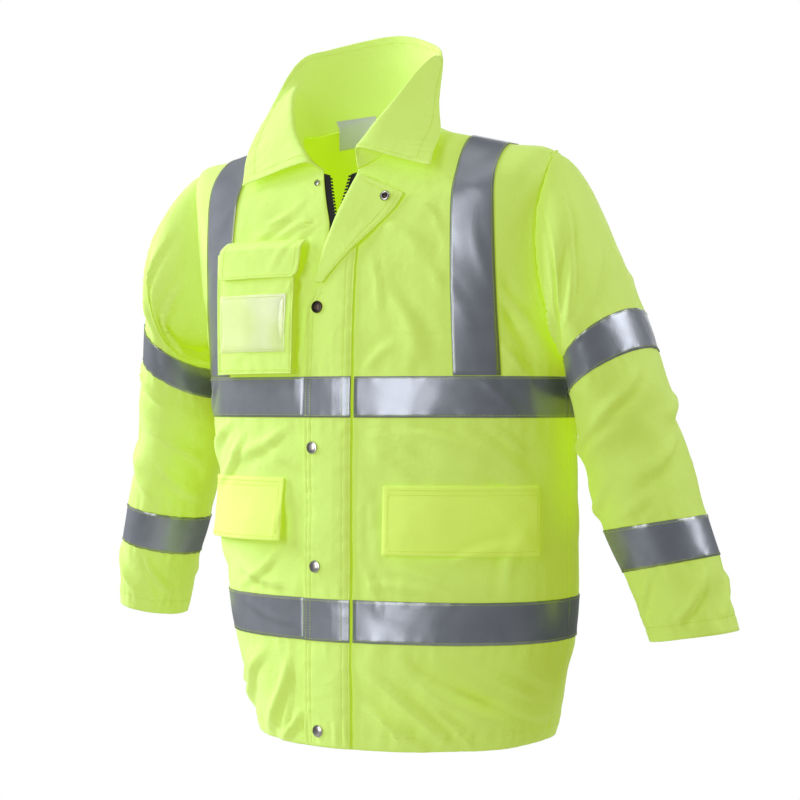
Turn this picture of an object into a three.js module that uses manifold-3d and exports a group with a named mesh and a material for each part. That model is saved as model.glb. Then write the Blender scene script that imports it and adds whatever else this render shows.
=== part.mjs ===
// A hip-length hi-vis work jacket, filled out as it hangs on a wearer who isn't there.
// Millimetres, +Z up, the front faces -Y and the wearer's left is +X.
// The origin is the middle of the neck opening, level with the neck end of the shoulder seams.
import * as THREE from 'three';
import Module from 'manifold-3d';

const wasm = await Module();
wasm.setup();

// Driving sizes
const SEAM_GAP = 0.4;
const SHELL = 1.6;
const TAPE = 0.9;
const LAY = 0.4;
const COLLAR = 1.8;
const FLAP = 1.8;
const ZIP_TAPE = 0.9;
const ZIP_DEPTH = 2.6;
const ZIP_EDGE = 0.6;
const ZIP_OVERLAP = 15;
const FRONT_EDGE = 9;
const V_BOTTOM = 11;
const V_OPEN = 15;
const BAND_WIDTH = 50;
const SNAP_RADIUS = 7.5;
const SNAP_HEIGHT = 2.6;
const FLAP_CLEAR = 1.2;

// Rings of the body from hem to neck: side, front and back are heights, wide the half width,
// chest, mid and rear are y at the front, the widest place and the back, shift the ring's x,
// square the ring's squareness (2 is an ellipse).
const BODY = [
  { side: -742, front: -746, back: -738, wide: 191, chest: -92, mid: 63, rear: 210, shift: 22, square: 2.1 },
  { side: -690, front: -690, back: -690, wide: 205, chest: -94, mid: 60, rear: 210, shift: 21, square: 2.15 },
  { side: -618, front: -618, back: -618, wide: 222, chest: -96, mid: 57, rear: 208, shift: 19, square: 2.2 },
  { side: -567, front: -567, back: -567, wide: 228, chest: -96, mid: 54, rear: 204, shift: 18, square: 2.25 },
  { side: -500, front: -500, back: -500, wide: 232, chest: -96, mid: 51, rear: 198, shift: 16, square: 2.3 },
  { side: -425, front: -425, back: -425, wide: 235, chest: -96, mid: 47, rear: 189, shift: 14, square: 2.35 },
  { side: -351, front: -351, back: -351, wide: 238, chest: -96, mid: 42, rear: 180, shift: 12, square: 2.4 },
  { side: -302, front: -302, back: -302, wide: 239, chest: -95, mid: 39, rear: 173, shift: 10, square: 2.45 },
  { side: -252, front: -252, back: -252, wide: 241, chest: -93, mid: 35, rear: 164, shift: 8, square: 2.5 },
  { side: -180, front: -200, back: -192, wide: 244, chest: -89, mid: 29, rear: 150, shift: 5, square: 2.6 },
  { side: -100, front: -154, back: -140, wide: 246, chest: -84, mid: 22, rear: 132, shift: 2, square: 2.6 },
  { side: -37, front: -118, back: -96, wide: 246, chest: -79, mid: 15, rear: 113, shift: 0, square: 2.35 },
  { side: -24, front: -98, back: -54, wide: 192, chest: -76, mid: 10, rear: 100, shift: 0, square: 2.15 },
  { side: -11, front: -77, back: -10, wide: 137, chest: -73, mid: 6, rear: 89, shift: 0, square: 2.05 },
  { side: 0, front: -57, back: 30, wide: 86, chest: -70, mid: 4, rear: 79, shift: 0, square: 2 },
];
const ARMPIT = 8;
const TIP = 11;
const NECK = 14;
const LOWER_TAPE = [2, 3];
const CHEST_TAPE = [6, 7];
const ARMHOLE_FRONT = 0.42;
const ARMHOLE_BACK = 0.5;

// Rings of the sleeves: outer and inner end in x and z, mid and deep are y and its half width,
// left and right how far out each sleeve's ring is moved, leftIn and rightIn its inner end alone.
const SLEEVE = [
  { outX: 246, outZ: -37, inX: 252, inZ: -252, mid: 26, deep: 60, left: 0, right: 0, leftIn: 0, rightIn: 0 },
  { outX: 276, outZ: -54, inX: 259, inZ: -260, mid: 25, deep: 74, left: -1, right: 8, leftIn: 0, rightIn: 0 },
  { outX: 302, outZ: -112, inX: 262, inZ: -268, mid: 27, deep: 80, left: -6, right: 8, leftIn: 0, rightIn: 0 },
  { outX: 323, outZ: -168, inX: 262, inZ: -278, mid: 31, deep: 82, left: -4, right: -4, leftIn: 0, rightIn: 0 },
  { outX: 341, outZ: -222, inX: 262, inZ: -290, mid: 38, deep: 82, left: -1, right: -12, leftIn: 0, rightIn: 0 },
  { outX: 356, outZ: -269, inX: 266, inZ: -328, mid: 47, deep: 79, left: -2, right: -15, leftIn: -2, rightIn: 0 },
  { outX: 373, outZ: -330, inX: 272, inZ: -378, mid: 60, deep: 72, left: 0, right: -14, leftIn: -8, rightIn: 2 },
  { outX: 386, outZ: -395, inX: 282, inZ: -428, mid: 70, deep: 68, left: 4, right: -8, leftIn: -18, rightIn: 4 },
  { outX: 399, outZ: -465, inX: 295, inZ: -486, mid: 78, deep: 64, left: 8, right: -3, leftIn: -16, rightIn: 4 },
  { outX: 412, outZ: -513, inX: 312, inZ: -536, mid: 85, deep: 60, left: 9, right: -2, leftIn: -12, rightIn: 7 },
  { outX: 420, outZ: -558, inX: 322, inZ: -578, mid: 93, deep: 56, left: 11, right: 0, leftIn: -10, rightIn: 9 },
  { outX: 429, outZ: -602, inX: 332, inZ: -619, mid: 101, deep: 52, left: 13, right: 1, leftIn: -9, rightIn: 12 },
];
const UPPER_BAND = [4, 5];
const LOWER_BAND = [8, 9];

// Ribs of the collar round the neck: turn is the place on the neck ring in degrees from the
// front, then the crest that it stands up to and the free edge that it falls to.
const COLLAR_RIBS = [
  { turn: -16, crestX: -40, crestY: -79, crestZ: -41, edgeX: -141, edgeY: -66, edgeZ: -65 },
  { turn: -45, crestX: -78, crestY: -48, crestZ: 6, edgeX: -148, edgeY: -42, edgeZ: -20 },
  { turn: -80, crestX: -104, crestY: -4, crestZ: 56, edgeX: -138, edgeY: -8, edgeZ: 31 },
  { turn: -112, crestX: -103, crestY: 30, crestZ: 68, edgeX: -119, edgeY: 32, edgeZ: 99 },
  { turn: -145, crestX: -72, crestY: 68, crestZ: 80, edgeX: -92, edgeY: 68, edgeZ: 120 },
  { turn: -180, crestX: -5, crestY: 87, crestZ: 84, edgeX: -10, edgeY: 93, edgeZ: 134 },
  { turn: -215, crestX: 54, crestY: 65, crestZ: 76, edgeX: 58, edgeY: 68, edgeZ: 114 },
  { turn: -248, crestX: 84, crestY: 18, crestZ: 92, edgeX: 93, edgeY: 22, edgeZ: 86 },
  { turn: -280, crestX: 77, crestY: -14, crestZ: 78, edgeX: 104, edgeY: -8, edgeZ: 32 },
  { turn: -308, crestX: 58, crestY: -48, crestZ: 34, edgeX: 118, edgeY: -34, edgeZ: -10 },
  { turn: -330, crestX: 36, crestY: -70, crestZ: -6, edgeX: 122, edgeY: -60, edgeZ: -36 },
  { turn: -344, crestX: 25, crestY: -78, crestZ: -26, edgeX: 125, edgeY: -76, edgeZ: -54 },
];

// Storm flap across the front: rows down it from seam to free edge, lift is over the shell.
const FLAP_ROWS = [
  { z: -62, seam: 37, edge: 30 },
  { z: -90, seam: 35, edge: 17 },
  { z: -117, seam: 34, edge: 4 },
  { z: -148, seam: 33, edge: -8 },
  { z: -175, seam: 32, edge: -15 },
  { z: -199, seam: 32, edge: -21 },
  { z: -217, seam: 32, edge: -32 },
  { z: -260, seam: 32, edge: -33 },
  { z: -302, seam: 32, edge: -33 },
  { z: -351, seam: 32, edge: -33 },
  { z: -400, seam: 32, edge: -33 },
  { z: -450, seam: 32, edge: -33 },
  { z: -508, seam: 31, edge: -33 },
  { z: -567, seam: 31, edge: -33 },
  { z: -618, seam: 31, edge: -34 },
  { z: -680, seam: 30, edge: -35 },
  { z: -745, seam: 29, edge: -35 },
];
const FLAP_LIFT = [
  { x: -36, lift: 1.6 },
  { x: -22, lift: 2.6 },
  { x: -8, lift: 3.6 },
  { x: 8, lift: 4.4 },
  { x: 22, lift: 3.8 },
  { x: 38, lift: 0.8 },
];
// The flap's turned-out top: rows from its fold to its free edge, lift is over the shell there.
const TURNED_ROWS = [
  { foldX: 29, foldZ: -61, freeX: 89, freeZ: -86, foldLift: 5.6, freeLift: 2.2 },
  { foldX: 23, foldZ: -74, freeX: 80, freeZ: -102, foldLift: 6.4, freeLift: 2.2 },
  { foldX: 12, foldZ: -98, freeX: 63, freeZ: -119, foldLift: 7.4, freeLift: 2.4 },
  { foldX: 3, foldZ: -119, freeX: 47, freeZ: -134, foldLift: 7.6, freeLift: 3.2 },
  { foldX: -7, foldZ: -146, freeX: 27, freeZ: -152, foldLift: 7.4, freeLift: 5.2 },
  { foldX: -13, foldZ: -168, freeX: 8, freeZ: -172, foldLift: 7, freeLift: 7 },
  { foldX: -19, foldZ: -190, freeX: -9, freeZ: -190, foldLift: 6, freeLift: 6.8 },
];

// Broad folds of the body: a line on the front or back face in x and z, half width and height.
const BODY_FOLDS = [
  { face: 'front', x0: 60, z0: -640, x1: 190, z1: -735, half: 24, high: 4 },
  { face: 'front', x0: 120, z0: -650, x1: 235, z1: -700, half: 18, high: -4 },
  { face: 'front', x0: 75, z0: -372, x1: 170, z1: -415, half: 16, high: 3 },
  { face: 'front', x0: 150, z0: -355, x1: 228, z1: -405, half: 16, high: -3 },
  { face: 'front', x0: -120, z0: -660, x1: -60, z1: -738, half: 22, high: 4 },
  { face: 'front', x0: -190, z0: -366, x1: -90, z1: -405, half: 16, high: 3 },
  { face: 'front', x0: 150, z0: -150, x1: 225, z1: -235, half: 18, high: -4 },
  { face: 'front', x0: 120, z0: -540, x1: 225, z1: -556, half: 16, high: 3 },
  { face: 'back', x0: -150, z0: -700, x1: -30, z1: -640, half: 26, high: 5 },
  { face: 'back', x0: 60, z0: -735, x1: 150, z1: -645, half: 26, high: 5 },
  { face: 'back', x0: -150, z0: -240, x1: -40, z1: -130, half: 24, high: -4 },
  { face: 'back', x0: 150, z0: -240, x1: 40, z1: -130, half: 24, high: -4 },
  { face: 'back', x0: -120, z0: -480, x1: 120, z1: -460, half: 24, high: 4 },
];
// Broad folds of a sleeve: turn in degrees (0 outside, 90 front), row, half width in mm, height.
const SLEEVE_FOLDS = [
  { turn0: 60, row0: 2.1, turn1: 150, row1: 3.4, half: 16, high: -4 },
  { turn0: 20, row0: 5.6, turn1: 120, row1: 6.5, half: 16, high: 4 },
  { turn0: 60, row0: 6.6, turn1: 160, row1: 6.9, half: 15, high: -4 },
  { turn0: -40, row0: 6.2, turn1: 50, row1: 7.3, half: 16, high: -3 },
  { turn0: 200, row0: 5.8, turn1: 300, row1: 6.8, half: 18, high: 4 },
  { turn0: 10, row0: 9.4, turn1: 90, row1: 10.3, half: 14, high: 3 },
];

const rad = (degrees) => (degrees * Math.PI) / 180;
const mix = (a, b, k) => a + (b - a) * k;
const vec = (x, y, z) => new THREE.Vector3(x, y, z);
const smooth = (k) => k * k * (3 - 2 * k);
const span = (from, to, steps) => Array.from({ length: steps + 1 }, (_, i) => mix(from, to, i / steps));

// A smooth curve through the rows of a table, for one column at a row number
function along(table, column, row) {
  const last = table.length - 1;
  const at = Math.min(Math.max(row, 0), last);
  const i = Math.min(Math.floor(at), last - 1);
  const k = at - i;
  const [a, b] = [table[i][column], table[i + 1][column]];
  const before = i > 0 ? table[i - 1][column] : 2 * a - b;
  const after = i < last - 1 ? table[i + 2][column] : 2 * b - a;
  const [startSlope, endSlope] = [(b - before) / 2, (after - a) / 2];
  return a + k * (startSlope + k * (3 * (b - a) - 2 * startSlope - endSlope
    + k * (2 * (a - b) + startSlope + endSlope)));
}

// A value read off a table by its place in another column
function lookUp(table, by, column, place) {
  const rising = table[1][by] > table[0][by];
  let i = 0;
  while (i < table.length - 2 && (rising ? place > table[i + 1][by] : place < table[i + 1][by])) {
    i += 1;
  }
  const k = (place - table[i][by]) / (table[i + 1][by] - table[i][by]);
  return mix(table[i][column], table[i + 1][column], Math.min(Math.max(k, 0), 1));
}

// The height of a soft fold at a point, full along its line and fading past its ends
function foldAt(px, pz, x0, z0, x1, z1, half, high) {
  const [dx, dz] = [x1 - x0, z1 - z0];
  const k = ((px - x0) * dx + (pz - z0) * dz) / (dx * dx + dz * dz);
  const near = Math.min(Math.max(k, 0), 1);
  const off = Math.hypot(px - x0 - near * dx, pz - z0 - near * dz) / half;
  return high * Math.exp(-off * off);
}

// A point of the body's outer face: turn in radians from the front, row of the table
function bodyBase(turn, row) {
  const ring = Object.fromEntries(Object.keys(BODY[0]).map((name) => [name, along(BODY, name, row)]));
  const [s, c] = [Math.sin(turn), Math.cos(turn)];
  const k = (Math.abs(s) ** ring.square + Math.abs(c) ** ring.square) ** (-1 / ring.square);
  const deep = c > 0 ? ring.mid - ring.chest : ring.rear - ring.mid;
  const end = c > 0 ? ring.front : ring.back;
  return vec(ring.shift + ring.wide * s * k, ring.mid - deep * c * k, mix(ring.side, end, c * c));
}

function normalOf(surface, a, b, stepA, stepB) {
  const acrossway = surface(a + stepA, b).sub(surface(a - stepA, b));
  const upway = surface(a, b + stepB).sub(surface(a, b - stepB));
  return acrossway.cross(upway).normalize();
}

function body(turn, row, lift = 0) {
  const point = bodyBase(turn, row);
  const normal = normalOf(bodyBase, turn, row, 0.01, 0.02);
  const face = Math.cos(turn) > 0 ? 'front' : 'back';
  const away = BODY_FOLDS.filter((fold) => fold.face === face).reduce((sum, fold) => sum
    + foldAt(point.x, point.z, fold.x0, fold.z0, fold.x1, fold.z1, fold.half, fold.high), 0);
  const fade = Math.min(1, Math.abs(Math.cos(turn)) * 4);
  return point.addScaledVector(normal, lift + away * fade);
}

// The turn at which a ring of the body reaches an x on its front or back
function turnAt(x, row, face = 'front') {
  const square = along(BODY, 'square', row);
  const limit = 0.9999;
  const across = (x - along(BODY, 'shift', row)) / along(BODY, 'wide', row);
  const s = Math.min(Math.max(across, -limit), limit);
  const c = (1 - Math.abs(s) ** square) ** (1 / square);
  const turn = Math.atan2(s, c);
  return face === 'front' ? turn : Math.sign(turn || 1) * Math.PI - turn;
}

// A point over the body's face at an x and a height
function bodyAt(x, z, lift, face = 'front') {
  let [low, high] = [0, NECK];
  for (let i = 0; i < 24; i += 1) {
    const row = (low + high) / 2;
    if (bodyBase(turnAt(x, row, face), row).z < z) low = row;
    else high = row;
  }
  return body(turnAt(x, low, face), low, lift);
}

function normalAt(x, z, face = 'front') {
  return bodyAt(x, z, 1, face).sub(bodyAt(x, z, 0, face)).normalize();
}

// Closed solids from rows of outer and inner points; a tube's rows close on themselves
function wall(outer, inner, tube = false) {
  const [rows, columns] = [outer.length, outer[0].length];
  const points = [...outer.flat(), ...inner.flat()];
  const at = (layer, r, c) => layer * rows * columns + r * columns + (c % columns);
  const faces = [];
  const quad = (a, b, c, d) => faces.push(a, b, c, a, c, d);
  const across = tube ? columns : columns - 1;
  for (let r = 0; r < rows - 1; r += 1) {
    for (let c = 0; c < across; c += 1) {
      quad(at(0, r, c), at(0, r, c + 1), at(0, r + 1, c + 1), at(0, r + 1, c));
      quad(at(1, r, c), at(1, r + 1, c), at(1, r + 1, c + 1), at(1, r, c + 1));
    }
  }
  for (let c = 0; c < across; c += 1) {
    quad(at(1, 0, c), at(1, 0, c + 1), at(0, 0, c + 1), at(0, 0, c));
    quad(at(0, rows - 1, c), at(0, rows - 1, c + 1), at(1, rows - 1, c + 1), at(1, rows - 1, c));
  }
  for (let r = 0; r < rows - 1 && !tube; r += 1) {
    quad(at(0, r, 0), at(0, r + 1, 0), at(1, r + 1, 0), at(1, r, 0));
    quad(at(1, r, across), at(1, r + 1, across), at(0, r + 1, across), at(0, r, across));
  }
  return facesOut(points, faces);
}

function facesOut(points, faces) {
  let volume = 0;
  for (let i = 0; i < faces.length; i += 3) {
    const [a, b, c] = [points[faces[i]], points[faces[i + 1]], points[faces[i + 2]]];
    volume += a.dot(b.clone().cross(c));
  }
  const turned = volume < 0 ? faces.map((_, i) => faces[i - (i % 3) + 2 - (i % 3)]) : faces;
  const geometry = new THREE.BufferGeometry();
  geometry.setAttribute('position', new THREE.Float32BufferAttribute(points.flatMap((p) => p.toArray()), 3));
  geometry.setIndex(turned);
  return geometry;
}

function solidOf(geometry) {
  return new wasm.Manifold(new wasm.Mesh({
    numProp: 3,
    vertProperties: new Float32Array(geometry.getAttribute('position').array),
    triVerts: new Uint32Array(geometry.index.array),
  }));
}

function geometryOf(solid) {
  const mesh = solid.getMesh();
  const geometry = new THREE.BufferGeometry();
  geometry.setAttribute('position', new THREE.BufferAttribute(new Float32Array(mesh.vertProperties), 3));
  geometry.setIndex(new THREE.BufferAttribute(new Uint32Array(mesh.triVerts), 1));
  return geometry;
}

// Draws the open edges of a panel's rows in by half a seam gap
function drawIn(rows, sides = true, ends = true) {
  const pull = (point, toward) => {
    const way = toward.clone().sub(point);
    return point.clone().addScaledVector(way, SEAM_GAP / 2 / way.length());
  };
  const result = rows.map((row) => row.map((point) => point.clone()));
  const last = rows.length - 1;
  rows.forEach((row, r) => {
    const end = row.length - 1;
    if (sides) {
      result[r][0] = pull(row[0], row[1]);
      result[r][end] = pull(row[end], row[end - 1]);
    }
  });
  if (ends) {
    result[0] = result[0].map((point, c) => pull(point, result[1][c]));
    result[last] = result[last].map((point, c) => pull(point, result[last - 1][c]));
  }
  return result;
}

const colours = {
  cloth: [0xc9f03a, 0.75, 0],
  bright: [0xdcff2e, 0.6, 0],
  tape: [0x7d828c, 0.35, 0.4],
  black: [0x16171a, 0.6, 0],
  metal: [0xb9bbbd, 0.3, 1],
  dark: [0x2a2622, 0.4, 0.9],
  clear: [0xe6f08a, 0.15, 0],
  label: [0xd9dade, 0.6, 0],
};
const jacket = new THREE.Group();

function add(name, geometry, finish) {
  const [color, roughness, metalness] = colours[finish];
  const material = new THREE.MeshStandardMaterial({ color, roughness, metalness });
  const mesh = new THREE.Mesh(geometry, material);
  mesh.name = name;
  jacket.add(mesh);
}

// Shell panels
const bodyRows = [0, 0.5, 1, 1.5, 2, 3, 3.5, 4, 4.5, 5, 5.5, 6, 7, 7.5];
const ARM_STEPS = 8;
const armRows = span(0, Math.PI, ARM_STEPS).map((a) => ({
  row: mix(ARMPIT, TIP, (1 - Math.cos(a)) / 2),
  open: Math.sin(a),
}));
const shoulderRows = [11.6, 12.2, 12.8, 13.4, 14];
const panelRows = [
  ...bodyRows.map((row) => ({ row, open: 0 })),
  ...armRows,
  ...shoulderRows.map((row) => ({ row, open: 0 })),
];

const vOpening = (row) => V_OPEN * Math.max(0, (row - V_BOTTOM) / (NECK - V_BOTTOM));
const tapeEdge = (side, row) => side * (ZIP_EDGE + vOpening(row));
const frontEdge = (side, row) => side * (FRONT_EDGE + vOpening(row));

function panelLayers(rowList, columns, lift, thick, turns) {
  const layer = (height) => rowList.map(({ row, open }) => {
    const [from, to] = turns(row, open);
    return span(from, to, columns).map((turn) => body(turn, row, height));
  });
  return [layer(lift + thick), layer(lift)];
}

const frontTurns = (side) => (row, open) => [
  turnAt(frontEdge(side, row), row),
  side * (Math.PI / 2 - ARMHOLE_FRONT * open),
];
const backTurns = (row, open) => [
  Math.PI / 2 + ARMHOLE_BACK * open,
  1.5 * Math.PI - ARMHOLE_BACK * open,
];

function panel(name, rowList, columns, lift, thick, turns, finish) {
  const [outer, inner] = panelLayers(rowList, columns, lift, thick, turns);
  add(name, wall(drawIn(outer), drawIn(inner)), finish);
}

const FRONT_COLUMNS = 10;
const BACK_COLUMNS = 16;
const sides = [{ name: 'left', sign: 1 }, { name: 'right', sign: -1 }];
sides.forEach(({ name, sign }) => {
  panel(`front_${name}`, panelRows, FRONT_COLUMNS, -SHELL, SHELL, frontTurns(sign), 'cloth');
});
panel('back', panelRows, BACK_COLUMNS, -SHELL, SHELL, backTurns, 'cloth');

// Reflective tape round the body, in the shell's own rows and columns
function tapePiece(name, rowNumbers, columns, turns, start) {
  const passed = (turn) => Math.abs(turn) < Math.abs(turnAt(start, rowNumbers[0])) + 0.03;
  const skip = start === undefined ? 0 : 1 + span(...turns(rowNumbers[0], 0), columns).findLastIndex(passed);
  const layer = (lift) => rowNumbers.map((row) => {
    const own = span(...turns(row, 0), columns).slice(skip);
    const all = start === undefined ? own : [turnAt(start, row), ...own];
    return all.map((turn) => body(turn, row, lift));
  });
  add(name, wall(drawIn(layer(LAY + TAPE)), drawIn(layer(LAY))), 'tape');
}

const rings = [{ name: 'chest_tape', rows: CHEST_TAPE }, { name: 'lower_tape', rows: LOWER_TAPE }];
rings.forEach((ring) => {
  sides.forEach(({ name, sign }) => {
    const flapEnd = lookUp(FLAP_ROWS, 'z', sign > 0 ? 'seam' : 'edge', along(BODY, 'front', ring.rows[0]));
    const start = flapEnd + sign * FLAP_CLEAR;
    tapePiece(`${ring.name}_${name}`, ring.rows, FRONT_COLUMNS, frontTurns(sign), start);
  });
  tapePiece(`${ring.name}_back`, ring.rows, BACK_COLUMNS, backTurns);
});

// Strips over one face of the body, from rows that give a height and the two ends in x
function strip(rows, columns, lift, thick, face = 'front') {
  const liftAt = typeof lift === 'function' ? lift : () => lift;
  const layer = (extra) => rows.map((row, r) => span(row.from, row.to, columns)
    .map((x, c) => bodyAt(x, row.z, liftAt(x, r / (rows.length - 1), c / columns) + extra, face)));
  return wall(layer(thick), layer(0));
}

// A block over the front between an outer lift and an inner one that goes with x
function wallBetween(rows, columns, outerLift, innerLift) {
  const layer = (liftAt) => rows.map(({ z, from, to }) => span(from, to, columns)
    .map((x) => bodyAt(x, z, liftAt(x))));
  return wall(layer(() => outerLift), layer(innerLift));
}

// Over-shoulder bands: the band's middle x at the chest tape and at the shoulder seam, and
// how far its rows lie below that seam
const BAND = { low: 181, high: 170, lift: 1.9, bottom: -301.4 };
const BAND_BELOW = [0.3, 3, 9, 18, 31, 50, 78, 110, 150, 200, 240];
sides.forEach(({ name, sign }) => {
  ['front', 'back'].forEach((face) => {
    const column = (across) => {
      const ridge = along(BODY, 'side', ridgeRow(BAND.high + across));
      return [...BAND_BELOW.map((below) => ridge - below), BAND.bottom].map((z) => {
        const k = (z - BAND.bottom) / (ridge - BAND.bottom);
        return { x: sign * (mix(BAND.low, BAND.high, k) + across), z };
      });
    };
    const columns = span(-BAND_WIDTH / 2, BAND_WIDTH / 2, 4).map(column);
    const layer = (lift) => columns.map((points) => points.map(({ x, z }) => bodyAt(x, z, lift, face)));
    add(`shoulder_band_${face}_${name}`, wall(layer(BAND.lift + TAPE), layer(BAND.lift)), 'tape');
  });
});

// The row at which the shoulder seam reaches an x
function ridgeRow(x) {
  let [low, high] = [TIP, NECK];
  for (let i = 0; i < 24; i += 1) {
    const row = (low + high) / 2;
    if (along(BODY, 'wide', row) > x) low = row;
    else high = row;
  }
  return low;
}

// Sleeves: rings from the armhole to the cuff, the first on the body's own armhole
const SLEEVE_AROUND = 2 * ARM_STEPS;
const ARMHOLE_BLEND = 2;
const FOLD_RADIUS = 70;
const FOLD_ROW = 50;

function armholePoint(sign, angle, lift) {
  const open = Math.abs(Math.sin(angle));
  const row = mix(TIP, ARMPIT, (1 - Math.cos(angle)) / 2);
  const way = Math.sin(angle) > 0 ? -ARMHOLE_FRONT * open : ARMHOLE_BACK * open;
  return body(sign * (Math.PI / 2 + way), row, lift);
}

function sleeveBase(sign, angle, row) {
  const ring = Object.fromEntries(Object.keys(SLEEVE[0]).map((name) => [name, along(SLEEVE, name, row)]));
  const k = (1 + Math.cos(angle)) / 2;
  const y = ring.mid - ring.deep * Math.sin(angle);
  const [moved, inner] = sign > 0 ? [ring.left, ring.leftIn] : [ring.right, ring.rightIn];
  const out = mix(ring.inX + inner, ring.outX, k) + moved;
  return vec(sign * out, y, mix(ring.inZ, ring.outZ, k));
}

function sleeveFold(angle, row, fold) {
  return [-2 * Math.PI, 0, 2 * Math.PI].reduce((sum, whole) => sum + foldAt(
    (angle + whole) * FOLD_RADIUS,
    row * FOLD_ROW,
    rad(fold.turn0) * FOLD_RADIUS,
    fold.row0 * FOLD_ROW,
    rad(fold.turn1) * FOLD_RADIUS,
    fold.row1 * FOLD_ROW,
    fold.half,
    fold.high,
  ), 0);
}

function sleeve(sign, angle, row, lift = 0) {
  const point = sleeveBase(sign, angle, row);
  const normal = normalOf((a, r) => sleeveBase(sign, a, r), angle, row, 0.02, 0.02);
  const outward = normal.multiplyScalar(sign);
  const away = SLEEVE_FOLDS.reduce((sum, fold) => sum + sleeveFold(angle, row, fold), 0);
  const free = point.addScaledVector(outward, lift + away);
  return armholePoint(sign, angle, lift).lerp(free, smooth(Math.min(1, row / ARMHOLE_BLEND)));
}

function sleeveTube(name, sign, rowNumbers, lift, thick, finish) {
  const layer = (height) => rowNumbers.map((row) => Array.from({ length: SLEEVE_AROUND }, (_, i) => (
    sleeve(sign, (2 * Math.PI * i) / SLEEVE_AROUND, row, height)
  )));
  add(name, wall(drawIn(layer(lift + thick), false), drawIn(layer(lift), false), true), finish);
}

const sleeveRows = [0, 0.4, 0.9, 1.5, 2.1, 2.7, 3.4, 4, 5, 5.6, 6.2, 6.8, 7.4, 8, 9, 9.6, 10.3, 11];
sides.forEach(({ name, sign }) => {
  sleeveTube(`sleeve_${name}`, sign, sleeveRows, -SHELL, SHELL, 'cloth');
  sleeveTube(`sleeve_${name}_band_upper`, sign, UPPER_BAND, LAY, TAPE, 'tape');
  sleeveTube(`sleeve_${name}_band_lower`, sign, LOWER_BAND, LAY, TAPE, 'tape');
});

// Collar: stands up from the neck ring to its crest and falls outward to its free edge
const COLLAR_GAP = 1.2;
const COLLAR_BEND = 0.2;
const CREST_FROM = 0.42;
const CREST_TO = 0.58;
const collarHeights = [0, 0.2, 0.42, 0.5, 0.58, 0.8, 1];

function collarPoint(rib, height) {
  const at = (name) => along(COLLAR_RIBS, name, rib);
  const base = body(rad(at('turn')), NECK, -SHELL / 2);
  const upward = base.clone().sub(body(rad(at('turn')), NECK - 0.1, -SHELL / 2));
  base.addScaledVector(upward, COLLAR_GAP / upward.length());
  const crest = vec(at('crestX'), at('crestY'), at('crestZ'));
  const edge = vec(at('edgeX'), at('edgeY'), at('edgeZ'));
  const before = crest.clone().lerp(base, COLLAR_BEND);
  const after = crest.clone().lerp(edge, COLLAR_BEND);
  if (height <= CREST_FROM) return base.lerp(before, height / CREST_FROM);
  if (height >= CREST_TO) return after.lerp(edge, (height - CREST_TO) / (1 - CREST_TO));
  const k = (height - CREST_FROM) / (CREST_TO - CREST_FROM);
  return before.lerp(crest, k).lerp(crest.lerp(after, k), k);
}

function collar(rib, height, lift) {
  return collarPoint(rib, height).addScaledVector(normalOf(collarPoint, rib, height, 0.03, 0.01), lift);
}

// The rib number at a turn round the neck, so that the collar shares the panels' columns
function ribAt(turn) {
  let [low, high] = [0, COLLAR_RIBS.length - 1];
  for (let i = 0; i < 24; i += 1) {
    const rib = (low + high) / 2;
    if (rad(along(COLLAR_RIBS, 'turn', rib)) > turn) low = rib;
    else high = rib;
  }
  return low;
}

const neckTurns = [
  ...span(...frontTurns(-1)(NECK, 0), FRONT_COLUMNS),
  ...span(...backTurns(NECK, 0), BACK_COLUMNS).slice(1, -1).map((turn) => turn - 2 * Math.PI).reverse(),
  ...span(...frontTurns(1)(NECK, 0), FRONT_COLUMNS).reverse().map((turn) => turn - 2 * Math.PI),
];
const ribs = neckTurns.map(ribAt);
const collarLayer = (lift) => ribs.map((rib) => collarHeights.map((height) => collar(rib, height, lift)));
add('collar', wall(drawIn(collarLayer(COLLAR / 2)), drawIn(collarLayer(-COLLAR / 2))), 'cloth');

// Neck label, sewn along its top edge inside the collar seam and hanging down
const LABEL = { ribFrom: 3.45, ribTo: 4.45, thick: 0.6, seat: 0.7 };
const LABEL_HIGH = [0.1, 0.03];
const LABEL_DROP = [27, 35];
const labelLayer = (lift) => {
  const columns = span(0, 1, 4).map((k) => ({ k, rib: mix(LABEL.ribFrom, LABEL.ribTo, k) }));
  const hung = (share) => columns.map(({ k, rib }) => collar(rib, 0.01, lift + LABEL.seat)
    .sub(vec(0, 0, share * mix(...LABEL_DROP, k))));
  return [
    columns.map(({ k, rib }) => collar(rib, mix(...LABEL_HIGH, k), lift)),
    hung(0),
    hung(0.5),
    hung(1),
  ];
};
const labelLift = COLLAR / 2 + LAY;
add('neck_label', wall(labelLayer(labelLift + LABEL.thick), labelLayer(labelLift)), 'label');

// Zip tapes behind the two front edges, meeting below the open V
const zipRows = [0.1, ...panelRows.map(({ row }) => row).filter((row) => row > 0.2 && row < NECK), NECK - 0.1];
sides.forEach(({ name, sign }) => {
  const layer = (lift) => zipRows.map((row) => {
    const from = tapeEdge(sign, row);
    return span(from, from + sign * ZIP_OVERLAP, 2).map((x) => body(turnAt(x, row), row, lift));
  });
  add(`zip_tape_${name}`, wall(layer(-ZIP_DEPTH), layer(-ZIP_DEPTH - ZIP_TAPE)), 'black');
});

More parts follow.
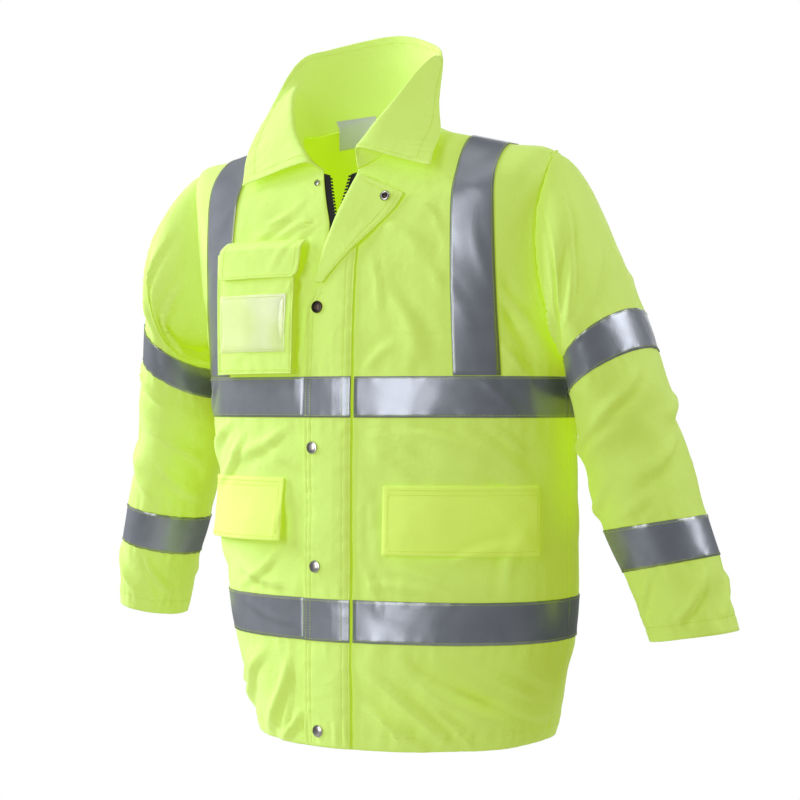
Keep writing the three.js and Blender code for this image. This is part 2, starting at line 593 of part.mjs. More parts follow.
// Storm flap: the closed length and its turned-out top, one cloth
const flapLift = (x) => lookUp(FLAP_LIFT, 'x', 'lift', x);
const flapRows = FLAP_ROWS.map(({ z, seam, edge }) => ({ z, from: edge, to: seam }));
const FLAP_COLUMNS = 5;
const closedFlap = solidOf(strip(flapRows, FLAP_COLUMNS, flapLift, FLAP));
const turnedLayer = (extra) => TURNED_ROWS.map((row) => span(0, 1, 4).map((k) => bodyAt(
  mix(row.foldX, row.freeX, k),
  mix(row.foldZ, row.freeZ, k),
  mix(row.foldLift, row.freeLift, k) + extra,
)));
const TURN_BEAD = { in: 2.5, out: 1.5 };
const beadLayer = (liftAt) => TURNED_ROWS.map((row) => [row.foldX - TURN_BEAD.out, row.foldX + TURN_BEAD.in]
  .map((x) => bodyAt(x, row.foldZ, liftAt(x, row))));
const turnedFlap = solidOf(wall(turnedLayer(FLAP), turnedLayer(0)));
const beadTop = beadLayer((x, row) => row.foldLift + FLAP - 0.3);
const bead = solidOf(wall(beadTop, beadLayer((x) => flapLift(x) + 0.3)));
add('storm_flap', geometryOf(closedFlap.add(turnedFlap).add(bead)), 'cloth');

rings.forEach((ring) => {
  const [low, high] = ring.rows.map((row) => along(BODY, 'side', row));
  const rows = [low, high].map((z) => ({
    z,
    from: lookUp(FLAP_ROWS, 'z', 'edge', z),
    to: lookUp(FLAP_ROWS, 'z', 'seam', z),
  }));
  add(`${ring.name}_flap`, strip(rows, FLAP_COLUMNS, (x) => flapLift(x) + FLAP + LAY, TAPE), 'tape');
});

// Round fittings: a profile turned about its axis and set on a face
function fitting(name, profile, x, z, lift, finish) {
  const outline = profile.map(([radius, height]) => new THREE.Vector2(radius, height));
  const geometry = new THREE.LatheGeometry(outline, 16);
  geometry.deleteAttribute('normal');
  geometry.deleteAttribute('uv');
  const [place, normal] = [bodyAt(x, z, lift), normalAt(x, z)];
  const turn = new THREE.Quaternion().setFromUnitVectors(vec(0, 1, 0), normal);
  geometry.applyQuaternion(turn);
  geometry.translate(place.x, place.y, place.z);
  add(name, geometry, finish);
}

const cap = [
  [0, 0], [SNAP_RADIUS, 0], [SNAP_RADIUS, SNAP_HEIGHT * 0.35],
  [SNAP_RADIUS * 0.8, SNAP_HEIGHT * 0.85], [0, SNAP_HEIGHT],
];
const SNAPS = [
  { name: 'snap_top', x: -16, z: -219, finish: 'dark' },
  { name: 'snap_upper', x: -20, z: -387, finish: 'metal' },
  { name: 'snap_lower', x: -16, z: -529, finish: 'metal' },
  { name: 'snap_hem', x: -14, z: -726, finish: 'metal' },
];
const SNAP_SEAT = 1;
SNAPS.forEach(({ name, x, z, finish }) => {
  fitting(name, cap, x, z, flapLift(x) + FLAP + SNAP_SEAT, finish);
});
const socket = [[0, 0], [6.5, 0], [6.5, 1.6], [5, 2.2], [3.6, 2.2], [3.2, 0.8], [0, 0.8]];
fitting('snap_socket', socket, 66, -89, 6.1, 'metal');
fitting('neck_stud', [[0, 0], [4, 0], [4, 1], [2, 1.4], [1.6, 2.6], [0, 2.6]], -31, -67, 0.8, 'metal');

// Zip slider at the foot of the V with its tab hanging down, both under the flap
const SLIDER = { half: 4.5, top: -121, bottom: -134, tabHalf: 2.5, tabBottom: -158 };
const SLIDER_LIFT = { back: -2, body: 1.6, tabBack: 1.2, tabFront: 2.6 };
const sliderPlate = (half, top, bottom, back, front) => {
  const rows = [{ z: bottom, from: -half, to: half }, { z: top, from: -half, to: half }];
  return solidOf(strip(rows, 1, back, front - back));
};
const sliderBody = sliderPlate(SLIDER.half, SLIDER.top, SLIDER.bottom, SLIDER_LIFT.back, SLIDER_LIFT.body);
const sliderTab = sliderPlate(
  SLIDER.tabHalf,
  SLIDER.top - 3,
  SLIDER.tabBottom,
  SLIDER_LIFT.tabBack,
  SLIDER_LIFT.tabFront,
);
add('zip_slider', geometryOf(sliderBody.add(sliderTab)), 'black');

// Chest pocket: a bag with gusset walls, open at the top under its flap, and a clear card window
const POCKET = { from: -161, to: -44, bottom: -299, top: -152, stand: 14, over: 4.6, lay: 0.8, step: -140 };
const pocketBase = (x) => (x < POCKET.step ? POCKET.over : POCKET.lay);
const pocketRows = (top, bottom, inset) => span(bottom, top, 5)
  .map((z) => ({ z, from: POCKET.from + inset, to: POCKET.to - inset }));
const pocketBlock = solidOf(wallBetween(pocketRows(POCKET.top, POCKET.bottom, 0), 6, POCKET.stand, pocketBase));
const pocketRoom = solidOf(wallBetween(
  pocketRows(POCKET.top + 9, POCKET.bottom + SHELL, SHELL),
  6,
  POCKET.stand - SHELL,
  () => -4,
));
add('chest_pocket', geometryOf(pocketBlock.subtract(pocketRoom)), 'cloth');

const CHEST_FLAP = [
  { z: -184, from: -151, to: -46, lift: 15.6 },
  { z: -178, from: -157, to: -39, lift: 15.4 },
  { z: -168, from: -158, to: -37, lift: 15.2 },
  { z: -153, from: -157, to: -36, lift: 15.2 },
  { z: -148, from: -156, to: -36, lift: 14.6 },
  { z: -142, from: -155, to: -36, lift: 9 },
  { z: -138, from: -155, to: -36, lift: 3.2 },
];
add('chest_pocket_flap', strip(CHEST_FLAP, 6, (x, down) => lookUp(
  CHEST_FLAP.map(({ lift }, i) => ({ place: i / (CHEST_FLAP.length - 1), lift })), 'place', 'lift', down,
), FLAP), 'cloth');
const WINDOW = { from: -155, to: -54, bottom: -272, top: -203, thick: 0.7 };
const windowRows = span(WINDOW.bottom, WINDOW.top, 3).map((z) => ({ z, from: WINDOW.from, to: WINDOW.to }));
add('card_window', strip(windowRows, 6, POCKET.stand + LAY, WINDOW.thick), 'clear');

// Lower pocket flaps, sewn along the top and standing off a little below
const LOWER_FLAPS = [
  { name: 'left', near: 73, far: 1.16, top: -431, bottom: -513, stand: [1.1, 3, 4.5, 5] },
  { name: 'right', near: -62, far: -1.36, top: -424, bottom: -500, stand: [1.1, 4, 8, 11] },
];
const rowAtHeight = (z) => {
  let [low, high] = [0, NECK];
  for (let i = 0; i < 24; i += 1) {
    const row = (low + high) / 2;
    if (along(BODY, 'side', row) < z) low = row;
    else high = row;
  }
  return low;
};
LOWER_FLAPS.forEach(({ name, near, far, top, bottom, stand }) => {
  const layer = (extra) => stand.map((lift, i) => {
    const row = rowAtHeight(mix(top, bottom, i / (stand.length - 1)));
    return span(turnAt(near, row), far, 8).map((turn) => body(turn, row, lift + extra));
  });
  add(`lower_flap_${name}`, wall(layer(FLAP), layer(0)), 'bright');
});

// Small black cord end under the right lower flap
const CORD_END = { turn: -1.22, z: -507, radius: 2.3, length: 18 };
const cordProfile = [[0, -0.5], [0.7, -0.5], [1, -0.3], [1, 0.3], [0.7, 0.5], [0, 0.5]]
  .map(([r, h]) => new THREE.Vector2(r * CORD_END.radius, h * CORD_END.length));
const cordEnd = new THREE.LatheGeometry(cordProfile, 10);
cordEnd.deleteAttribute('normal');
cordEnd.deleteAttribute('uv');
cordEnd.rotateX(Math.PI / 2);
const cordPlace = body(CORD_END.turn, rowAtHeight(CORD_END.z), CORD_END.radius + LAY);
cordEnd.translate(cordPlace.x, cordPlace.y, cordPlace.z);
add('cord_end', cordEnd, 'black');

export default jacket;
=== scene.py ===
"""A hi-vis work jacket, filled out as it hangs on a wearer who isn't there.

The tables are in millimetres, and a mesh is made in metres. The front faces -Y, the wearer's
left is +X, and the origin is the middle of the neck opening.
"""
import math

import bpy
import numpy as np
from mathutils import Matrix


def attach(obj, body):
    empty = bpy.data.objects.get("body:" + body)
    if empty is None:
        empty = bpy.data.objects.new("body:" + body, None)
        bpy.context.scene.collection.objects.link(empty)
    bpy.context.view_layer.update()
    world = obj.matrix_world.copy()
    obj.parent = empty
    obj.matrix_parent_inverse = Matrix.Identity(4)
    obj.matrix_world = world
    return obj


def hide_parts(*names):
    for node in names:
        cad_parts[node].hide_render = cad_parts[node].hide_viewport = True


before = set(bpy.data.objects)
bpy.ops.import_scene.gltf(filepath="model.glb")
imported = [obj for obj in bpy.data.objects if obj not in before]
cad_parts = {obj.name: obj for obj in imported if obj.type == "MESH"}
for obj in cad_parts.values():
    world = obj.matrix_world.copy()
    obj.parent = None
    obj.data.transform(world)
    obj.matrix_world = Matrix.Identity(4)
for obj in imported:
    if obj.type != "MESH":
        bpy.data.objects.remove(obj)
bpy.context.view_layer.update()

SHELL = 1.6
TAPE = 0.9
LAY = 0.4
FLAP = 1.8
COLLAR = 1.8
SIDES = {"left": 1, "right": -1}
TURN = 2 * math.pi
MM_PER_METRE = 1000
ZIP_TAPE, ZIP_DEPTH = 0.9, 2.6
TAPE_WIDTH = 50
# How far thread lies off the cloth that it sews
SEWN = 0.1


def table(names, *rows):
    """A short table of sizes, one array for each named column."""
    return {name: np.array(column, float) for name, column in zip(names.split(), zip(*rows))}


# Rings of the body from hem to neck
BODY = table(
    "side front back wide chest mid rear shift square",
    (-742, -746, -738, 191, -92, 63, 210, 22, 2.1),
    (-690, -690, -690, 205, -94, 60, 210, 21, 2.15),
    (-618, -618, -618, 222, -96, 57, 208, 19, 2.2),
    (-567, -567, -567, 228, -96, 54, 204, 18, 2.25),
    (-500, -500, -500, 232, -96, 51, 198, 16, 2.3),
    (-425, -425, -425, 235, -96, 47, 189, 14, 2.35),
    (-351, -351, -351, 238, -96, 42, 180, 12, 2.4),
    (-302, -302, -302, 239, -95, 39, 173, 10, 2.45),
    (-252, -252, -252, 241, -93, 35, 164, 8, 2.5),
    (-180, -200, -192, 244, -89, 29, 150, 5, 2.6),
    (-100, -154, -140, 246, -84, 22, 132, 2, 2.6),
    (-37, -118, -96, 246, -79, 15, 113, 0, 2.35),
    (-24, -98, -54, 192, -76, 10, 100, 0, 2.15),
    (-11, -77, -10, 137, -73, 6, 89, 0, 2.05),
    (0, -57, 30, 86, -70, 4, 79, 0, 2),
)
ARMPIT, TIP, NECK = 8, 11, 14
RINGS = {"lower_tape": (2, 3), "chest_tape": (6, 7)}
ARMHOLE = {"front": 0.42, "back": 0.5}

# Rings of the sleeves from armhole to cuff
SLEEVE = table(
    "outX outZ inX inZ mid deep left right leftIn rightIn",
    (246, -37, 252, -252, 26, 60, 0, 0, 0, 0),
    (276, -54, 259, -260, 25, 74, -1, 8, 0, 0),
    (302, -112, 262, -268, 27, 80, -6, 8, 0, 0),
    (323, -168, 262, -278, 31, 82, -4, -4, 0, 0),
    (341, -222, 262, -290, 38, 82, -1, -12, 0, 0),
    (356, -269, 266, -328, 47, 79, -2, -15, -2, 0),
    (373, -330, 272, -378, 60, 72, 0, -14, -8, 2),
    (386, -395, 282, -428, 70, 68, 4, -8, -18, 4),
    (399, -465, 295, -486, 78, 64, 8, -3, -16, 4),
    (412, -513, 312, -536, 85, 60, 9, -2, -12, 7),
    (420, -558, 322, -578, 93, 56, 11, 0, -10, 9),
    (429, -602, 332, -619, 101, 52, 13, 1, -9, 12),
)
SLEEVE_BANDS = {"upper": (4, 5), "lower": (8, 9)}
CUFF = 11

# Ribs of the collar round the neck ring: its crest and its free edge
COLLAR_RIBS = table(
    "turn crestX crestY crestZ edgeX edgeY edgeZ",
    (-16, -40, -79, -41, -141, -66, -65),
    (-45, -78, -48, 6, -148, -42, -20),
    (-80, -104, -4, 56, -138, -8, 31),
    (-112, -103, 30, 68, -119, 32, 99),
    (-145, -72, 68, 80, -92, 68, 120),
    (-180, -5, 87, 84, -10, 93, 134),
    (-215, 54, 65, 76, 58, 68, 114),
    (-248, 84, 18, 92, 93, 22, 86),
    (-280, 77, -14, 78, 104, -8, 32),
    (-308, 58, -48, 34, 118, -34, -10),
    (-330, 36, -70, -6, 122, -60, -36),
    (-344, 25, -78, -26, 125, -76, -54),
)

# The storm flap down the front, and its turned-out top from fold to free edge
FLAP_ROWS = table(
    "z seam edge",
    (-745, 29, -35), (-680, 30, -35), (-618, 31, -34), (-567, 31, -33), (-508, 31, -33),
    (-302, 32, -33), (-217, 32, -32), (-199, 32, -21), (-175, 32, -15), (-148, 33, -8),
    (-117, 34, 4), (-90, 35, 17), (-62, 37, 30),
)
FLAP_LIFT = table("x lift", (-36, 1.6), (-22, 2.6), (-8, 3.6), (8, 4.4), (22, 3.8), (38, 0.8))
TURNED_ROWS = table(
    "foldX foldZ freeX freeZ foldLift freeLift",
    (29, -61, 89, -86, 5.6, 2.2),
    (23, -74, 80, -102, 6.4, 2.2),
    (12, -98, 63, -119, 7.4, 2.4),
    (3, -119, 47, -134, 7.6, 3.2),
    (-7, -146, 27, -152, 7.4, 5.2),
    (-13, -168, 8, -172, 7, 7),
    (-19, -190, -9, -190, 6, 6.8),
)

# Broad folds: a line on the front or back in x and z, half width and height
FRONT_FOLDS = table(
    "x0 z0 x1 z1 half high",
    (60, -640, 190, -735, 24, 4), (120, -650, 235, -700, 18, -4), (75, -372, 170, -415, 16, 3),
    (150, -355, 228, -405, 16, -3), (-120, -660, -60, -738, 22, 4), (-190, -366, -90, -405, 16, 3),
    (150, -150, 225, -235, 18, -4), (120, -540, 225, -556, 16, 3),
)
BACK_FOLDS = table(
    "x0 z0 x1 z1 half high",
    (-150, -700, -30, -640, 26, 5), (60, -735, 150, -645, 26, 5), (-150, -240, -40, -130, 24, -4),
    (150, -240, 40, -130, 24, -4), (-120, -480, 120, -460, 24, 4),
)
# Creases: the line's ends, how far it bows, half width and height of the ridge
FRONT_CREASES = table(
    "x0 z0 x1 z1 bow half high",
    (52, -655, 150, -742, 6, 9, 3.2), (95, -640, 205, -712, -8, 11, 2.8),
    (40, -690, 118, -745, 4, 8, 2.2), (150, -668, 226, -735, 6, 10, -2.4),
    (60, -545, 130, -560, 3, 7, 1.4), (150, -522, 226, -500, 5, 9, 2),
    (90, -366, 196, -402, 8, 9, 2.4), (160, -362, 232, -424, 6, 9, 2.2),
    (60, -385, 112, -420, -4, 7, 1.5), (185, -420, 232, -470, 6, 8, -1.8),
    (120, -172, 178, -262, 12, 11, 2), (176, -118, 224, -232, -10, 10, 2.6),
    (196, -200, 236, -300, 8, 9, -2.4), (70, -196, 120, -290, 10, 14, 1.6),
    (60, -120, 118, -150, 6, 9, 1.2), (130, -62, 196, -96, 6, 10, 1.5),
    (44, -300, 86, -262, 5, 8, 1.2), (205, -562, 228, -470, 5, 8, 1.6),
    (-60, -362, -150, -398, 7, 9, 1.8), (-150, -356, -216, -412, -6, 9, 2),
    (-52, -410, -96, -380, 4, 7, 1.2), (-180, -540, -214, -470, 4, 8, 1.6),
    (-60, -556, -150, -530, 5, 9, 1.8), (-60, -640, -110, -742, 7, 10, 2.6),
    (-100, -634, -176, -730, -7, 11, 2.4), (-40, -700, -78, -744, 4, 7, 1.8),
    (-45, -110, -92, -132, 5, 8, 1.2), (-150, -80, -200, -132, 8, 9, 1.8),
    (-190, -140, -226, -246, 6, 9, -2), (-206, -236, -180, -300, 5, 8, 1.5),
    (-48, -330, -48, -180, 3, 6, 1), (44, -560, 44, -400, 3, 6, 1),
    (-34, -96, -66, -142, 4, 4, 1.4), (-30, -118, -78, -178, -5, 5, 1.6), (-28, -140, -62, -212, 5, 4, 1.5),
    (-30, -170, -48, -250, -4, 4, 1.4), (-44, -84, -104, -120, 5, 5, 1.5), (-60, -104, -120, -134, 4, 5, 1.3),
    (-30, -196, -42, -290, 3, 4, 1.2), (-36, -260, -46, -340, -3, 4, 1.3), (50, -150, 66, -230, 4, 5, 1.2),
    (44, -366, 120, -396, 5, 5, 1.4), (56, -390, 150, -426, 6, 5, 1.2), (50, -424, 66, -520, 4, 5, 1.3),
    (44, -520, 70, -590, 5, 6, 1.8), (80, -526, 160, -556, 5, 6, 1.4), (178, -300, 222, -352, 6, 7, 2.2),
    (192, -250, 234, -318, 6, 6, 1.8), (180, -430, 232, -520, 6, 7, 1.6), (196, -364, 228, -396, 4, 6, 1.8),
    (-128, -366, -196, -440, 8, 7, 2), (-60, -420, -76, -500, 4, 5, 1.2), (-76, -512, -150, -560, 6, 6, 1.5),
    (-180, -280, -224, -350, 6, 7, 2), (-50, -600, -150, -570, 6, 6, 1.4), (-130, -640, -196, -700, 6, 7, 2),
    (-60, -650, -74, -742, 3, 5, 1.6), (60, -700, 96, -744, 4, 5, 1.6), (124, -690, 168, -744, 5, 6, 1.8),
    (180, -650, 222, -690, 5, 7, 2), (120, -100, 150, -170, 6, 6, 1.5), (100, -70, 176, -80, 5, 6, 1.3),
)
BACK_CREASES = table(
    "x0 z0 x1 z1 bow half high",
    (-190, -250, -90, -110, 14, 12, 2.6), (190, -250, 90, -110, -12, 12, 2.4),
    (-215, -300, -150, -200, 8, 10, 2.2), (215, -296, 156, -190, -8, 10, 2.4),
    (-60, -92, 70, -98, 8, 12, 2), (-120, -140, 10, -170, 10, 13, 1.6),
    (-200, -372, -60, -430, 12, 11, 2.4), (30, -376, 190, -420, -10, 11, 2.2),
    (-150, -468, 40, -505, 9, 12, 2.2), (60, -520, 200, -470, 8, 11, 2),
    (-210, -540, -120, -480, 7, 10, 1.8), (-160, -735, -60, -632, 9, 11, 2.8),
    (-60, -738, 30, -640, -9, 11, 2.4), (60, -742, 150, -640, 10, 12, 2.8),
    (150, -735, 205, -650, 6, 9, 2.2), (-205, -720, -160, -640, 6, 9, 2),
    (-20, -330, 60, -250, 8, 12, 1.4), (-90, -320, -30, -210, -8, 12, 1.6),
)
# Folds and creases of a sleeve: turn in degrees (0 outside, 90 front) and row
SLEEVE_FOLDS = table(
    "turn0 row0 turn1 row1 bow half high",
    (60, 2.1, 150, 3.4, 0, 16, -4), (20, 5.6, 120, 6.5, 0, 16, 4), (60, 6.6, 160, 6.9, 0, 15, -4),
    (-40, 6.2, 50, 7.3, 0, 16, -3), (200, 5.8, 300, 6.8, 0, 18, 4), (10, 9.4, 90, 10.3, 0, 14, 3),
)
SLEEVE_CREASES = table(
    "turn0 row0 turn1 row1 bow half high",
    (70, 0.7, 130, 3.2, 6, 8, -2.6), (100, 0.9, 150, 3.6, -5, 7, 2.2), (40, 1.2, 96, 3.4, 8, 10, 1.8),
    (150, 2.2, 210, 3.4, 6, 9, 2.2), (10, 2.4, 80, 3.8, 6, 10, 1.4), (30, 5.3, 120, 5.9, 8, 8, 2.6),
    (70, 6, 168, 6.5, -7, 8, 2.4), (0, 6.5, 80, 7.2, 8, 9, 2.2), (100, 7.1, 176, 7.7, 6, 8, 2),
    (-60, 5.5, 20, 6.3, 7, 9, 2), (-100, 6.2, -30, 7.2, 8, 9, 2.2), (190, 5.4, 270, 6.1, 8, 9, 2.6),
    (200, 6.6, 290, 7.3, -8, 9, 2.2), (30, 9.3, 90, 10.6, 5, 8, 2), (100, 9.2, 150, 10.4, 5, 8, 1.8),
    (-30, 9.4, 20, 10.7, -5, 8, 1.8), (220, 9.3, 270, 10.4, 6, 8, 2), (210, 1.2, 260, 3.2, 8, 10, 2),
    (280, 1.6, 330, 3.4, 6, 10, 1.8), (56, 7.4, 110, 7.8, 4, 7, 1.5),
)
# A sleeve's mean radius and the mean length of one of its rows
FOLD_RADIUS, FOLD_ROW = 70, 50


def along(rows, column, row):
    """A smooth curve through one column of a table, at row numbers."""
    values = rows[column]
    last = len(values) - 1
    at = np.clip(row, 0, last)
    i = np.minimum(np.floor(at), last - 1).astype(int)
    k = at - i
    a, b = values[i], values[i + 1]
    before = np.where(i > 0, values[np.maximum(i - 1, 0)], 2 * a - b)
    after = np.where(i < last - 1, values[np.minimum(i + 2, last)], 2 * b - a)
    start, end = (b - before) / 2, (after - a) / 2
    return a + k * (start + k * (3 * (b - a) - 2 * start - end + k * (2 * (a - b) + start + end)))


def look_up(rows, by, column, place):
    """A column's value where another column, which rises, has a value."""
    return np.interp(place, rows[by], rows[column])


def fade(low, high, value):
    """0 up to low, 1 from high, smooth between."""
    k = np.clip((value - low) / (high - low), 0, 1)
    return k * k * (3 - 2 * k)


def bell(off, wide):
    """1 at no distance, falling away on both sides."""
    return np.exp(-((off / wide) ** 2))


def unit(way):
    return way / np.maximum(np.linalg.norm(way, axis=-1, keepdims=True), 1e-9)


def fold_at(px, pz, x0, z0, x1, z1, half, high):
    """A soft fold that is full along its line and fades past its ends."""
    dx, dz = x1 - x0, z1 - z0
    near = np.clip(((px - x0) * dx + (pz - z0) * dz) / (dx * dx + dz * dz), 0, 1)
    return high * bell(np.hypot(px - x0 - near * dx, pz - z0 - near * dz), half)


def crease_at(px, pz, x0, z0, x1, z1, bow, half, high):
    """A crease that bows and runs out at both ends, a ridge with a trough beside it."""
    dx, dz = x1 - x0, z1 - z0
    long = math.hypot(dx, dz)
    k = ((px - x0) * dx + (pz - z0) * dz) / long**2
    off = ((pz - z0) * dx - (px - x0) * dz) / long - bow * 4 * k * (1 - k)
    ends = np.exp(-(np.abs((2 * k - 1) / 0.85) ** 4))
    width = half * (0.5 + 0.4 * np.clip(k, 0, 1))
    return high * ends * (bell(off, width) - 0.5 * bell(off / width - 1.5, 1))


def total(rows, make, *place):
    """The sum of a table's folds at a place."""
    return sum(make(*place, *row) for row in zip(*rows.values()))


def crumple(u, v, long, high, seed):
    """Shallow uneven waves of a stiff cloth."""
    waves = 0
    for i, (turn, size) in enumerate([(0.3, 1), (1.2, 0.83), (2.1, 1.27), (2.7, 0.61), (0.8, 0.52)]):
        way = u * math.cos(turn + seed) + v * math.sin(turn + seed)
        waves = waves + size * np.sin(TURN * way / (long * size) + 1.7 * i + seed)
    return high * waves / 2.2


def pucker(place, off, period, reach, high):
    """Small gathers along a line of sewing, dying away from it."""
    wave = np.sin(TURN * place / period + 1.4 * np.sin(TURN * place / (3.7 * period)))
    wave = wave + 0.5 * np.sin(TURN * place / (0.61 * period) + 1)
    return high * bell(off, reach) * wave


def body_base(turn, row):
    ring = {name: along(BODY, name, row) for name in BODY}
    s, c = np.sin(turn), np.cos(turn)
    k = (np.abs(s) ** ring["square"] + np.abs(c) ** ring["square"]) ** (-1 / ring["square"])
    deep = np.where(c > 0, ring["mid"] - ring["chest"], ring["rear"] - ring["mid"])
    end = np.where(c > 0, ring["front"], ring["back"])
    return np.stack([
        ring["shift"] + ring["wide"] * s * k,
        ring["mid"] - deep * c * k,
        ring["side"] + (end - ring["side"]) * c * c,
    ], axis=-1)


def normal_of(surface, a, b, step_a, step_b):
    across = surface(a + step_a, b) - surface(a - step_a, b)
    up = surface(a, b + step_b) - surface(a, b - step_b)
    return unit(np.cross(across, up))


HEM_STITCH = 17
CREASE_DEPTH = 2.8
SEAM_TURN = math.pi / 2
BODY_RADIUS, SEAM_RADIUS = 215, 190
HEM_ROW = 52
# Where the shoulder bands lie, from the middle of the body, and their foot
BAND_MIDDLE, BAND_FOOT = 175, -315


def armhole_groove(turn, row):
    """The sewing dips where a sleeve is set in."""
    round_ = 1 - 2 * np.clip((row - TIP) / (ARMPIT - TIP), 0, 1)
    open_ = np.sqrt(np.maximum(0, 1 - round_**2))
    around = np.arctan2(np.sin(turn), np.cos(turn))
    way = np.where(np.cos(around) > 0, ARMHOLE["front"], ARMHOLE["back"]) * open_
    off = np.abs(np.abs(np.abs(around) - SEAM_TURN) - way) * SEAM_RADIUS
    inside = fade(ARMPIT - 0.2, ARMPIT + 0.3, row) * (1 - fade(TIP - 0.15, TIP, row))
    return inside * (2.2 * bell(off, 2.6) - 0.9 * bell(off - 8, 4))


def body_relief(turn, row, point):
    """How far the cloth stands off its plain form, from broad folds to puckers at the sewing."""
    x, z = point[..., 0], point[..., 2]
    front = np.cos(turn) > 0
    broad = np.where(front, total(FRONT_FOLDS, fold_at, x, z), total(BACK_FOLDS, fold_at, x, z))
    fine = np.where(
        front, total(FRONT_CREASES, crease_at, x, z), total(BACK_CREASES, crease_at, x, z)
    ) * CREASE_DEPTH
    fine = fine + crumple(x + 90 * turn, z, long=96, high=0.8, seed=0.4)
    fine = fine + crumple(x, z + 60 * turn, long=43, high=0.35, seed=1.9)
    around = turn * BODY_RADIUS
    for low, high in RINGS.values():
        for at, way in ((low, -1), (high, 1)):
            off = (z - along(BODY, "side", at)) * way
            off = np.where(off > 0, off, 3 * off)
            fine = fine + pucker(around + 40 * at, off, period=24, reach=18, high=1)
        held = fade(low - 0.2, low, row) * (1 - fade(high, high + 0.2, row))
        fine = fine * (1 - 0.55 * held)
    off = np.abs(x) - BAND_MIDDLE
    banded = fade(-42, -28, off) * (1 - fade(28, 42, off)) * fade(BAND_FOOT, BAND_FOOT + 15, z)
    fine, broad = fine * (1 - 0.9 * banded), broad * (1 - 0.85 * banded)
    hem = z - along(BODY, "side", 0) - np.where(front, -4, 4) * np.cos(turn) ** 2
    fine = fine + pucker(around, hem - HEM_STITCH, period=21, reach=13, high=1.2)
    fine = fine - 1.1 * bell(hem - HEM_STITCH, 2.2)
    seam = np.abs(np.abs(np.arctan2(np.sin(turn), np.cos(turn))) - SEAM_TURN) * SEAM_RADIUS
    below = 1 - fade(ARMPIT, ARMPIT + 0.4, row)
    fine = fine + pucker(z, seam, period=26, reach=12, high=0.8) * below
    shoulder = fade(TIP, TIP + 0.4, row)
    groove = bell(seam, 3)
    off_side = np.abs(np.cos(turn)) * 4
    fine = fine * (0.4 + 0.6 * fade(0, 1, off_side)) * (1 - 0.6 * shoulder)
    return broad * np.minimum(1, off_side) + fine - 0.9 * groove * below - armhole_groove(turn, row)


def body(turn, row, lift=0.0, relief=1.0):
    """Points of the body's cloth and their outward normals."""
    point = body_base(turn, row)
    normal = normal_of(body_base, turn, row, 0.01, 0.02)
    away = relief * body_relief(turn, row, point) if relief else 0
    return point + normal * np.asarray(lift + away)[..., None], normal


def turn_at(x, row, face="front"):
    """The turn at which a ring of the body reaches an x."""
    square = along(BODY, "square", row)
    s = np.clip((x - along(BODY, "shift", row)) / along(BODY, "wide", row), -0.9999, 0.9999)
    turn = np.arctan2(s, (1 - np.abs(s) ** square) ** (1 / square))
    return turn if face == "front" else np.where(turn < 0, -1, 1) * math.pi - turn


def body_at(x, z, lift=0.0, face="front", relief=1.0):
    """Points and normals of the body's cloth at an x and a height, found by halving the rows."""
    x, z = np.broadcast_arrays(np.asarray(x, float), np.asarray(z, float))
    low, high = np.zeros(x.shape), np.full(x.shape, float(NECK))
    for _ in range(20):
        row = (low + high) / 2
        under = body_base(turn_at(x, row, face), row)[..., 2] < z
        low, high = np.where(under, row, low), np.where(under, high, row)
    return body(turn_at(x, low, face), low, lift, relief)


def armhole_point(sign, angle, lift):
    open_ = np.abs(np.sin(angle))
    row = TIP + (ARMPIT - TIP) * (1 - np.cos(angle)) / 2
    way = np.where(np.sin(angle) > 0, -ARMHOLE["front"] * open_, ARMHOLE["back"] * open_)
    return body(sign * (SEAM_TURN + way), row, lift)[0]


def sleeve_base(side, angle, row):
    ring = {name: along(SLEEVE, name, row) for name in SLEEVE}
    k = (1 + np.cos(angle)) / 2
    inner = ring["inX"] + ring[side + "In"]
    out = inner + (ring["outX"] - inner) * k + ring[side]
    y = ring["mid"] - ring["deep"] * np.sin(angle)
    return np.stack([SIDES[side] * out, y, ring["inZ"] + (ring["outZ"] - ring["inZ"]) * k], axis=-1)


def around_folds(rows, make, angle, row, mirror):
    """A sleeve's folds, counted round the tube; on the other sleeve they lie a little elsewhere."""
    height = 0
    for turn0, row0, turn1, row1, bow, half, high in zip(*rows.values()):
        shift = 0.35 * mirror * math.sin(turn0)
        for whole in (-TURN, 0, TURN):
            args = [
                (angle + whole) * FOLD_RADIUS, row * FOLD_ROW,
                math.radians(turn0) * FOLD_RADIUS, (row0 + shift) * FOLD_ROW,
                math.radians(turn1) * FOLD_RADIUS, (row1 + shift) * FOLD_ROW,
            ]
            form = (bow, half, high) if make is crease_at else (half, high)
            height = height + make(*args, *form)
    return height


CUFF_STITCH = 0.42


